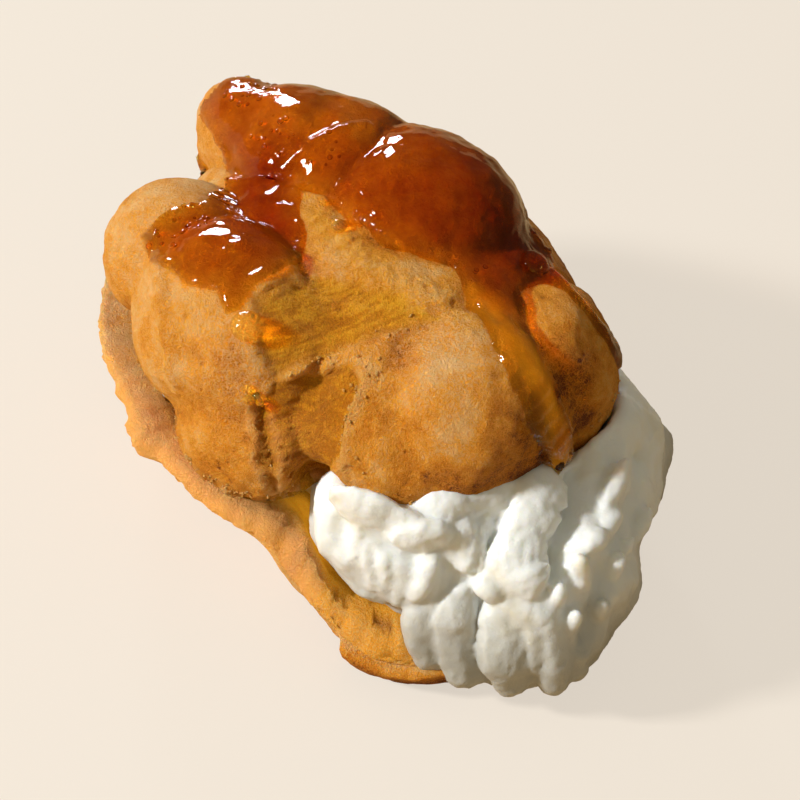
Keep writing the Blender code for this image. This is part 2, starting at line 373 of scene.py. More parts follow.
def nearest_on_path(points, path):
    """Distance from each point to a path, how far along it that is from 0 to 1, and the offset from it."""
    path = np.asarray(path, dtype=float)
    lengths = np.linalg.norm(np.diff(path, axis=0), axis=1)
    starts = np.concatenate([[0.0], np.cumsum(lengths)]) / lengths.sum()
    best = np.full(len(points), np.inf)
    along = np.zeros(len(points))
    offset = np.zeros_like(points)
    heading = np.zeros_like(points)
    for index, length in enumerate(lengths):
        run = path[index + 1] - path[index]
        share = np.clip(((points - path[index]) @ run) / length**2, 0.0, 1.0)
        gap = points - path[index] - share[:, None] * run
        distance = np.linalg.norm(gap, axis=1)
        nearer = distance < best
        best = np.where(nearer, distance, best)
        along = np.where(nearer, starts[index] + share * (starts[index + 1] - starts[index]), along)
        offset = np.where(nearer[:, None], gap, offset)
        heading = np.where(nearer[:, None], run / length, heading)
    return best, along, offset, heading


def inside_plan(points, loop):
    """Which points lie inside a closed loop, seen from above."""
    inside = np.zeros(len(points), dtype=bool)
    for start, end in zip(loop, np.roll(loop, -1, axis=0)):
        crosses = (start[1] > points[:, 1]) != (end[1] > points[:, 1])
        rise = end[1] - start[1] if end[1] != start[1] else 1.0
        inside ^= crosses & (points[:, 0] < (end[0] - start[0]) * (points[:, 1] - start[1]) / rise + start[0])
    return inside


def within_loop(points, loop):
    """How far inside a loop of places each point is, in mm, and negative outside it."""
    loop = np.asarray(loop, dtype=float)
    distance = nearest_on_path(points, np.vstack([loop, loop[:1]]))[0]
    return np.where(inside_plan(points, loop), distance, -distance)


def near(points, place_and_reach):
    """A soft round spot: 1 at its middle, falling off over its reach."""
    place, reach = place_and_reach
    return np.exp(-((np.linalg.norm(points - place, axis=1) / reach) ** 2))


def caramel_depth(points):
    """How far inside the caramel's outline each point is, in mm, and negative outside it."""
    uneven = lumps(points, 4.0, 41, 4)
    depth = within_loop(points, CARAMEL_OUTLINE) + uneven * 0.45
    depth -= 8.0 * smoothstep(40.5, 39.0, points[:, 2]) * (points[:, 0] < 5.0)
    for path, reaches in zip(CARAMEL_RUNS, RUN_REACHES):
        distance, along = nearest_on_path(points, path)[:2]
        reach = np.interp(along, np.linspace(0.0, 1.0, len(reaches)), reaches)
        depth = smooth_max(depth, reach - distance + uneven * 0.25, 0.5)
    return depth


def add_ball(skin, columns, rows):
    """Adds a ball rolled up from a grid, and gives its vertices and their directions."""
    made = bmesh.ops.create_grid(skin, x_segments=columns, y_segments=rows, size=1.0)["verts"]
    flat = np.array([vertex.co[:] for vertex in made])
    bearing = flat[:, 0] * math.pi
    latitude = flat[:, 1] * math.pi / 2.0
    level = np.where(np.abs(flat[:, 1]) > 0.9999, 0.0, np.cos(latitude))
    bearing = np.where(flat[:, 0] > 0.9999, -math.pi, bearing)
    for vertex, x, y, z in zip(made, np.cos(bearing) * level, np.sin(bearing) * level, np.sin(latitude)):
        vertex.co = (x, y, z)
    merge_within(skin, made, 0.00001)
    made = [vertex for vertex in made if vertex.is_valid]
    return made, np.array([vertex.co[:] for vertex in made])


def merge_within(skin, verts, distance):
    bmesh.ops.remove_doubles(skin, verts=verts, dist=distance)


def ball(columns, rows):
    skin = bmesh.new()
    _, directions = add_ball(skin, columns, rows)
    return skin, directions


def smoothed(skin, times, verts=None):
    for _ in range(times):
        bmesh.ops.smooth_vert(skin, verts=verts or skin.verts, factor=0.5, use_axis_x=True, use_axis_y=True,
            use_axis_z=True)
    skin.normal_update()


def stretch_sheet(skin, chosen, times):
    """Pulls part of a skin tight between the vertices round it, as torn dough stretches."""
    smoothed(skin, times, [vertex for vertex, inside in zip(skin.verts, chosen) if inside])


def crust_lumps(points):
    """The lid crust's own unevenness, which caramel on it follows, in mm."""
    dimple = smoothstep(0.3, 0.9, lumps(points, 4.5, 45, 2))
    return lumps(points, 10.0, 2) * 0.45 + lumps(points, 3.6, 4) * 0.17 - dimple * 0.2


def move_to(skin, points):
    for vertex, point in zip(skin.verts, points * MM):
        vertex.co = point
    skin.normal_update()


def normals_of(skin):
    return np.array([vertex.normal[:] for vertex in skin.verts])


def face_outwards(skin):
    bmesh.ops.recalc_face_normals(skin, faces=skin.faces)
    if skin.calc_volume(signed=True) < 0.0:
        bmesh.ops.reverse_faces(skin, faces=skin.faces)


def piece_from(skin, name, material, masks=None):
    """Makes a piece of a bmesh, with a value on each vertex for every mask."""
    mesh = bpy.data.meshes.new(name)
    skin.to_mesh(mesh)
    skin.free()
    for mask, values in (masks or {}).items():
        layer = mesh.attributes.new(mask, "FLOAT", "POINT")
        layer.data.foreach_set("value", np.asarray(values, dtype=np.float32))
    mesh.materials.append(material)
    mesh.shade_smooth()
    piece = bpy.data.objects.new(name, mesh)
    bpy.context.scene.collection.objects.link(piece)
    return piece


# Materials


class Wires:
    """Adds shader nodes to a tree and joins them up."""

    def __init__(self, tree):
        self.tree = tree

    def add(self, kind, **settings):
        node = self.tree.nodes.new(kind)
        for key, value in settings.items():
            setattr(node, key, value)
        return node

    def join(self, source, target):
        self.tree.links.new(source, target)

    def put(self, value, target):
        if isinstance(value, bpy.types.NodeSocket):
            self.join(value, target)
        else:
            target.default_value = value

    def mask(self, name):
        return self.add("ShaderNodeAttribute", attribute_name=name).outputs["Fac"]

    def maths(self, operation, first, second=0.0, clamp=False):
        node = self.add("ShaderNodeMath", operation=operation, use_clamp=clamp)
        self.put(first, node.inputs[0])
        self.put(second, node.inputs[1])
        return node.outputs[0]

    def blend(self, share, first, second):
        node = self.add("ShaderNodeMix", data_type="RGBA")
        self.put(share, node.inputs["Factor"])
        self.put(first, node.inputs[6])
        self.put(second, node.inputs[7])
        return node.outputs[2]

    def noise(self, where, scale, detail=3.0, roughness=0.5, distortion=0.0):
        node = self.add("ShaderNodeTexNoise")
        self.join(where, node.inputs["Vector"])
        node.inputs["Scale"].default_value = scale
        node.inputs["Detail"].default_value = detail
        node.inputs["Roughness"].default_value = roughness
        node.inputs["Distortion"].default_value = distortion
        return node.outputs["Fac"]

    def cells(self, where, scale, feature="F1"):
        node = self.add("ShaderNodeTexVoronoi", feature=feature)
        self.join(where, node.inputs["Vector"])
        node.inputs["Scale"].default_value = scale
        return node

    def spread(self, value, low, high, to_low=0.0, to_high=1.0):
        node = self.add("ShaderNodeMapRange")
        node.inputs["From Min"].default_value = low
        node.inputs["From Max"].default_value = high
        node.inputs["To Min"].default_value = to_low
        node.inputs["To Max"].default_value = to_high
        self.join(value, node.inputs["Value"])
        return node.outputs["Result"]

    def ramp(self, value, stops):
        node = self.add("ShaderNodeValToRGB")
        colours = node.color_ramp
        while len(colours.elements) < len(stops):
            colours.elements.new(0.5)
        for element, (place, colour) in zip(colours.elements, stops):
            element.position = place
            element.color = (*colour, 1.0)
        self.join(value, node.inputs["Fac"])
        return node.outputs["Color"]

    def bump(self, height, strength, distance):
        node = self.add("ShaderNodeBump")
        node.inputs["Strength"].default_value = strength
        node.inputs["Distance"].default_value = distance
        self.join(height, node.inputs["Height"])
        return node.outputs["Normal"]


def new_group(name, outputs):
    """An empty node group with its outputs."""
    group = bpy.data.node_groups.new(name, "ShaderNodeTree")
    for label, kind in outputs:
        group.interface.new_socket(name=label, in_out="OUTPUT", socket_type=kind)
    return group


def dough_grain():
    """Patterns of baked choux: broad mottling, fine felted threads, toasted specks and their height."""
    if "Dough grain" in bpy.data.node_groups:
        return bpy.data.node_groups["Dough grain"]
    outputs = (("Mottle", "NodeSocketFloat"), ("Threads", "NodeSocketFloat"), ("Specks", "NodeSocketFloat"),
        ("Height", "NodeSocketFloat"))
    group = new_group("Dough grain", outputs)
    wires = Wires(group)
    where = wires.add("ShaderNodeTexCoord").outputs["Object"]
    mottle = wires.noise(where, 240.0, 6.0, 0.68)
    fine = wires.noise(where, 2600.0, 6.0, 0.72, 0.4)
    warp = wires.add("ShaderNodeTexNoise")
    wires.join(where, warp.inputs["Vector"])
    warp.inputs["Scale"].default_value = 700.0
    warp.inputs["Detail"].default_value = 3.0
    bend = wires.add("ShaderNodeVectorMath", operation="SCALE")
    wires.join(warp.outputs["Color"], bend.inputs[0])
    bend.inputs["Scale"].default_value = 0.0020
    moved = wires.add("ShaderNodeVectorMath", operation="ADD")
    wires.join(where, moved.inputs[0])
    wires.join(bend.outputs[0], moved.inputs[1])
    net = wires.cells(moved.outputs[0], 2300.0, "DISTANCE_TO_EDGE").outputs["Distance"]
    threads = wires.maths("MULTIPLY", wires.spread(net, 0.0, 0.22, 1.0, 0.0), wires.spread(fine, 0.35, 0.65))
    dots = wires.cells(where, 620.0)
    chosen = wires.spread(wires.noise(where, 420.0, 2.0), 0.52, 0.66)
    specks = wires.maths("MULTIPLY", wires.spread(dots.outputs["Distance"], 0.12, 0.38, 1.0, 0.0), chosen)
    pebbles = wires.noise(where, 900.0, 3.0, 0.6)
    height = wires.maths("ADD", wires.maths("MULTIPLY", threads, 0.25), wires.maths("MULTIPLY", fine, 0.6))
    height = wires.maths("ADD", height, wires.maths("MULTIPLY", pebbles, 0.7))
    height = wires.maths("SUBTRACT", height, wires.maths("MULTIPLY", specks, 0.25))
    out = wires.add("NodeGroupOutput")
    for label, value in (("Mottle", mottle), ("Threads", threads), ("Specks", specks), ("Height", height)):
        wires.join(value, out.inputs[label])
    return group


def new_material(name, roughness):
    material = bpy.data.materials.new(name)
    material.use_nodes = True
    shader = material.node_tree.nodes["Principled BSDF"]
    shader.inputs["Roughness"].default_value = roughness
    return material, Wires(material.node_tree), shader


def dough_material(name, look):
    """Baked choux. Masks on its vertices say where it is toasted, torn, felted, blushed or soaked, and where it gets
    a painted glow that stands in for light coming through thin dough.
    """
    material, wires, shader = new_material(name, 0.6)
    grain = wires.add("ShaderNodeGroup", node_tree=dough_grain())
    mottle, threads, specks, height = [grain.outputs[n] for n in ("Mottle", "Threads", "Specks", "Height")]
    toast = wires.maths("ADD", wires.mask("toast"), wires.spread(mottle, 0.32, 0.68, -0.2, 0.42))
    toast = wires.maths("SUBTRACT", toast, wires.maths("MULTIPLY", threads, 0.4))
    toast = wires.maths("ADD", toast, wires.maths("MULTIPLY", specks, 0.3), clamp=True)
    crust = wires.ramp(toast, ((0.0, look.pale), (0.4, look.golden), (0.72, look.brown), (1.0, look.dark)))
    # The crumb darkens with the depth mask: partly the crumb's own colour, partly painted shade deeper in tears,
    # holes and hollows, and lighter on raised threads.
    crumb = wires.ramp(
        wires.maths("ADD", wires.mask("depth"), wires.spread(threads, 0.0, 0.8, 0.22, -0.42), clamp=True),
        ((0.0, look.crumb), (0.5, look.crumb_deep), (1.0, look.crumb_dark)),
    )
    colour = wires.blend(wires.mask("torn"), crust, crumb)
    fuzz = wires.maths("MULTIPLY", wires.spread(threads, 0.05, 0.6, 0.0, 0.5), wires.mask("fuzz"))
    colour = wires.blend(fuzz, colour, (*look.fuzz, 1.0))
    colour = wires.blend(wires.mask("blush"), colour, (*look.blush, 1.0))
    under_glaze = wires.blend(wires.spread(mottle, 0.35, 0.65), (*look.soaked, 1.0), (*look.soaked_deep, 1.0))
    colour = wires.blend(wires.mask("soaked"), colour, under_glaze)
    shader.inputs["Subsurface Weight"].default_value = look.glow
    shader.inputs["Subsurface Radius"].default_value = (1.0, 0.45, 0.15)
    shader.inputs["Subsurface Scale"].default_value = 0.002
    shader.inputs["Specular IOR Level"].default_value = 0.15
    wires.join(colour, shader.inputs["Base Color"])
    # Painted glow: the dough gives off the lit-through colour where its mask says, standing in for light that comes
    # through thin dough and caramel.
    shader.inputs["Emission Color"].default_value = (*look.painted_glow, 1.0)
    wires.join(wires.maths("MULTIPLY", wires.mask("painted_glow"), wires.spread(mottle, 0.3, 0.7, 0.2, 0.5)),
        shader.inputs["Emission Strength"])
    rough = wires.spread(height, 0.2, 1.2, 0.55, 0.75)
    wires.join(rough, shader.inputs["Roughness"])
    wires.join(wires.bump(height, 1.0, 0.0010), shader.inputs["Normal"])
    return material


def cream_material(look):
    material, wires, shader = new_material("whipped cream", 0.42)
    where = wires.add("ShaderNodeTexCoord").outputs["Object"]
    tint = wires.noise(where, 120.0, 3.0)
    colour = wires.blend(wires.spread(tint, 0.55, 0.75), (*look.white, 1.0), (*look.butter, 1.0))
    # Painted shade: the low mask darkens the cream towards the table.
    colour = wires.blend(wires.mask("low"), colour, (*look.low, 1.0))
    fine = wires.noise(where, 700.0, 5.0, 0.65)
    pits = wires.cells(where, 900.0).outputs["Distance"]
    height = wires.maths("ADD", fine, wires.spread(pits, 0.0, 0.25, -0.3, 0.0))
    shader.inputs["Subsurface Weight"].default_value = 0.6
    shader.inputs["Subsurface Radius"].default_value = (1.0, 0.85, 0.6)
    shader.inputs["Subsurface Scale"].default_value = 0.0015
    shader.inputs["Specular IOR Level"].default_value = 0.4
    wires.join(colour, shader.inputs["Base Color"])
    wires.join(wires.spread(fine, 0.3, 0.7, 0.35, 0.5), shader.inputs["Roughness"])
    wires.join(wires.bump(height, 0.4, 0.0003), shader.inputs["Normal"])
    return material


def caramel_material(name, look, bubbly, clear=1.0):
    """Clear amber sugar. What lies under it shows through, darker where the mask says that it is thick."""
    material, wires, shader = new_material(name, 0.03)
    where = wires.add("ShaderNodeTexCoord").outputs["Object"]
    streaks = wires.noise(where, 260.0, 4.0, 0.6, 0.5)
    thick = wires.maths("ADD", wires.mask("thick"), wires.spread(streaks, 0.3, 0.7, -0.16, 0.16), clamp=True)
    tint = wires.ramp(thick, ((0.0, look.thin), (0.45, look.amber), (1.0, look.burnt)))
    wires.join(tint, shader.inputs["Base Color"])
    shader.inputs["IOR"].default_value = 1.36
    shader.inputs["Transmission Weight"].default_value = clear
    ripples = wires.noise(where, 330.0, 3.0, 0.5)
    beads = wires.spread(wires.cells(where, bubbly).outputs["Distance"], 0.0, 0.5, 1.0, 0.0)
    froth = wires.maths("ADD", wires.maths("MULTIPLY", wires.mask("froth"), 1.2), 0.08)
    height = wires.maths("ADD", wires.maths("MULTIPLY", ripples, 0.5), wires.maths("MULTIPLY", beads, froth))
    wires.join(wires.bump(height, 0.35, 0.0004), shader.inputs["Normal"])
    lamp = wires.add("ShaderNodeBsdfTransparent")
    wires.join(tint, lamp.inputs["Color"])
    shadow = wires.add("ShaderNodeLightPath").outputs["Is Shadow Ray"]
    mix = wires.add("ShaderNodeMixShader")
    wires.join(shadow, mix.inputs[0])
    wires.join(shader.outputs[0], mix.inputs[1])
    wires.join(lamp.outputs[0], mix.inputs[2])
    output = next(node for node in wires.tree.nodes if node.type == "OUTPUT_MATERIAL")
    wires.join(mix.outputs[0], output.inputs["Surface"])
    return material


def floor_material(look):
    """A pale floor on a light table. Seen from the puff it is darker, as a plain table is."""
    material, wires, shader = new_material("pale floor", 0.9)
    where = wires.add("ShaderNodeTexCoord").outputs["Object"]
    paler = tuple(value * 1.01 for value in look.floor)
    plain = wires.blend(wires.noise(where, 6.0, 2.0), (*look.floor, 1.0), (*paler, 1.0))
    wires.join(wires.blend(0.75, plain, (0.0, 0.0, 0.0, 1.0)), shader.inputs["Base Color"])
    shader.inputs["Specular IOR Level"].default_value = 0.1
    shader.inputs["Emission Color"].default_value = (*look.floor, 1.0)
    shader.inputs["Emission Strength"].default_value = look.glow
    table = wires.add("ShaderNodeBsdfDiffuse")
    table.inputs["Color"].default_value = (*look.bounce, 1.0)
    mix = wires.add("ShaderNodeMixShader")
    wires.join(wires.add("ShaderNodeLightPath").outputs["Is Camera Ray"], mix.inputs[0])
    wires.join(table.outputs[0], mix.inputs[1])
    wires.join(shader.outputs[0], mix.inputs[2])
    output = next(node for node in wires.tree.nodes if node.type == "OUTPUT_MATERIAL")
    wires.join(mix.outputs[0], output.inputs["Surface"])
    return material


# Settings


def colour(name, description, default):
    return FloatVectorProperty(name=name, description=description, default=default, subtype="COLOR", size=3,
        min=0.0, max=1.0)


def length(name, description, default):
    return FloatProperty(name=name, description=description, default=default, subtype="DISTANCE",
        unit="LENGTH")


class PuffDough(PropertyGroup):
    pale: colour("Pale crust", "Least baked crust", (0.96, 0.54, 0.19))
    golden: colour("Golden crust", "Most of the crust", (0.90, 0.36, 0.03))
    brown: colour("Brown crust", "Well baked crust", (0.66, 0.21, 0.004))
    dark: colour("Dark crust", "Cracks and toasted specks", (0.20, 0.045, 0.002))
    # The three crumb colours are partly the torn dough's own colour and partly painted shade: lightest where light
    # reaches, darkest in hollows.
    crumb: colour("Crumb", "Torn dough nearest the light", (0.96, 0.45, 0.02))
    crumb_deep: colour("Deep crumb", "Torn dough further in", (0.70, 0.26, 0.004))
    crumb_dark: colour("Darkest crumb", "Hollows in torn dough", (0.46, 0.14, 0.002))
    soaked: colour("Soaked crust", "Crust that caramel has soaked into", (0.62, 0.24, 0.03))
    soaked_deep: colour("Dark soaked crust", "Darker patches of soaked crust", (0.42, 0.13, 0.01))
    blush: colour("Cut rim", "Pink-gold fluffy dough along the cut", (0.96, 0.44, 0.14))
    fuzz: colour("Fuzz", "Pale threads that felt over the crust", (0.98, 0.70, 0.42))
    # Painted glow: the colour that the dough gives off itself, standing in for daylight that comes through thin walls
    # of dough.
    painted_glow: colour("Lit through", "Daylight that comes through a thin wall of dough", (1.0, 0.42, 0.02))
    glow: FloatProperty(name="Glow", description="Share of light that soaks into the dough", default=0.2,
        min=0.0, max=1.0, subtype="FACTOR")


class PuffCream(PropertyGroup):
    white: colour("Cream", "Whipped cream", (0.80, 0.83, 0.82))
    # Painted shade: this colour darkens the cream towards the table.
    low: colour("Low cream", "Cream near the table, which is wetter and darker", (0.42, 0.43, 0.40))
    butter: colour("Butter", "Faint richer streaks in the cream", (0.76, 0.73, 0.60))
    grid: length("Fineness", "Size of the cells that ropes of cream are merged in", 0.00048)


class PuffCaramel(PropertyGroup):
    thin: colour("Thin caramel", "Tint of the thinnest film", (0.92, 0.74, 0.16))
    amber: colour("Caramel", "Tint of most of the glaze", (0.70, 0.36, 0.02))
    burnt: colour("Thick caramel", "Tint of the deepest pools", (0.46, 0.09, 0.001))
    film: length("Film", "Thickness of the glaze near its edge", 0.00045)


class PuffStage(PropertyGroup):
    floor: colour("Floor", "Plain pale floor", (0.88, 0.80, 0.70))
    key: FloatProperty(name="Window", description="Strength of the soft window light", default=1.0, min=0.0)
    bounce: colour("Bounce", "Light that the floor throws back at the puff", (0.60, 0.42, 0.22))
    fill: FloatProperty(name="Room", description="Strength of the room's own light", default=0.34, min=0.0)
    glow: FloatProperty(name="Light table", description="How far the floor lights itself", default=0.75,
        min=0.0)


class PuffSettings(PropertyGroup):
    dough: PointerProperty(type=PuffDough, name="Dough", description="Colours of the baked choux")
    cream: PointerProperty(type=PuffCream, name="Cream", description="Colours and fineness of the cream")
    caramel: PointerProperty(type=PuffCaramel, name="Caramel",
        description="Tints and thickness of the caramel")
    stage: PointerProperty(type=PuffStage, name="Stage", description="Floor and lights")


# Pieces


class CREAMPUFF_OT_base(Operator):
    """Builds the lower choux shell with its torn rim"""

    bl_idname = "cream_puff.base"
    bl_label = "Lower Shell"

    def execute(self, context):
        look = context.scene.cream_puff.dough
        skin, directions = ball(*BASE_GRID)
        form, bearing, outside, part = base_form(directions)
        move_to(skin, form)
        face_outwards(skin)
        outward = normals_of(skin)
        height = form[:, 2]
        degrees = np.degrees(bearing)
        rim = smoothstep(0.93, 0.985, part)
        inner = (~outside).astype(float)
        front = smoothstep(TONGUE_END - 2.0, TONGUE_END + 3.0, degrees) * smoothstep(FRONT_RIM[1],
            FRONT_RIM[0] + 8.0, degrees)
        relief = lumps(form, 9.0, 3) * 0.4 + lumps(form, 3.2, 5) * 0.16 + lumps(form, 1.2, 8) * 0.07
        relief += rim * (lumps(form, 2.0, 12, 4) * 0.4
            + ridges(stretched(form, (0.8, -0.6, -0.3), 2.5), 1.3, 14) * 0.4)
        wall = outside * smoothstep(0.5, 0.75, part)
        relief += swells(bearing, ((-104.0, 10.0, 1.1),)) * outside * smoothstep(0.97, 0.8,
            part) * smoothstep(0.5, 0.8, part)
        flap = smoothstep(SIDE_FOLD[0] + 1.0, SIDE_FOLD[0] - 1.4, degrees) * smoothstep(-178.0, -160.0,
            degrees)
        past_fold = smoothstep(SIDE_FOLD[0] + 0.6, SIDE_FOLD[0] + 2.6, degrees)
        tucked = past_fold * smoothstep(-118.0, -130.0, degrees)
        bulge = smoothstep(LOW_BULGE[0] - 0.8, LOW_BULGE[0] + 1.6, degrees) * smoothstep(-30.0, -60.0,
            degrees)
        belly = smoothstep(0.45, 0.62, part) * smoothstep(0.93, 0.84, part) * outside
        relief += bulge * belly * LOW_BULGE[1]
        holes = smoothstep(0.3, 0.55, lumps(form, 1.5, 17, 1))
        relief -= holes * smoothstep(0.9, 0.94, part) * front * 1.0
        on_table = smoothstep(0.2, 1.6, height)
        points = form + outward * (relief * on_table)[:, None]
        ledge = smoothstep(-101.0, -93.0, degrees) * smoothstep(FRONT_RIM[1], FRONT_RIM[0] + 8.0, degrees)
        front = np.where(outside, ledge, front)
        points[:, 2] -= RIM_DROP * front * smoothstep(0.6, 1.0, part)
        tongue = smoothstep(-172.0, -135.0, degrees) * smoothstep(TONGUE_END + 1.0, TONGUE_END - 3.0, degrees)
        points[:, 2] += (tongue + front * 1.6) * np.where(outside, -1.2, 1.0) * smoothstep(0.84, 0.97, part)
        moving = wall + inner * smoothstep(0.88, 0.95, part)
        plan = np.column_stack([np.cos(bearing), np.sin(bearing)])
        left_side = smoothstep(-172.0, -160.0, degrees) * smoothstep(-96.0, -112.0, degrees)
        under = left_side * outside * smoothstep(0.3, 0.45, part) * smoothstep(1.0, 0.8, part)
        points[:, :2] += plan * ((flap * SIDE_FOLD[1] - tucked * SIDE_FOLD[2]) * moving - under * 4.0)[:,
            None]
        points[:, 2] = np.maximum(points[:, 2], 0.0)
        move_to(skin, points)
        belt = swells(bearing, ((-104.0, 12.0, 1.0),)) * outside * smoothstep(0.5, 0.7, part)
        # Painted glow: the inner wall at the front gives off light, standing in for daylight that comes through the
        # thin dough.
        painted_glow = swells(bearing, ((-93.0, 12.0, 1.3), (-62.0, 12.0, 0.8))) * inner * smoothstep(0.45, 0.7,
            part) * (1.0 - rim)
        masks = {
            "toast": np.clip(0.16 + 0.4 * smoothstep(8.0, 1.0, height) + 0.45 * bulge * belly - 0.2 * belt
                + 0.25 * front * rim - 0.1 * rim, 0.0, 1.0),
            "torn": np.clip(inner * (1.0 - rim) + front * rim * (0.55 + 0.45 * holes) + tongue * rim * 0.3,
                0.0, 1.0),
            # Depth is partly painted shade: the torn inside is darker further down the hollow and in the holes of the
            # front rim.
            "depth": np.clip(0.18 + 0.3 * smoothstep(0.9, 0.4, part) + holes * rim * 0.7, 0.0, 1.0),
            "blush": np.clip((rim * (0.85 * tongue + 0.1) + 0.3 * belt + 0.4 * tucked * wall)
                * (0.75 + lumps(form, 2.4, 18) * 0.5), 0.0, 1.0),
            "fuzz": 0.15 + 0.45 * rim,
            # Painted glow on the inner wall, the front rim and the left outer wall.
            "painted_glow": np.clip(painted_glow + 0.45 * front * rim * (1.0 - holes) + 0.55 * wall
                * smoothstep(-178.0, -165.0, degrees) * smoothstep(-90.0, -105.0, degrees), 0.0, 1.0),
        }
        material = dough_material("lower crust", look)
        piece = piece_from(skin, "choux_lower_shell", material, masks)
        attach(piece, "root")
        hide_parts("choux_base")
        return {"FINISHED"}


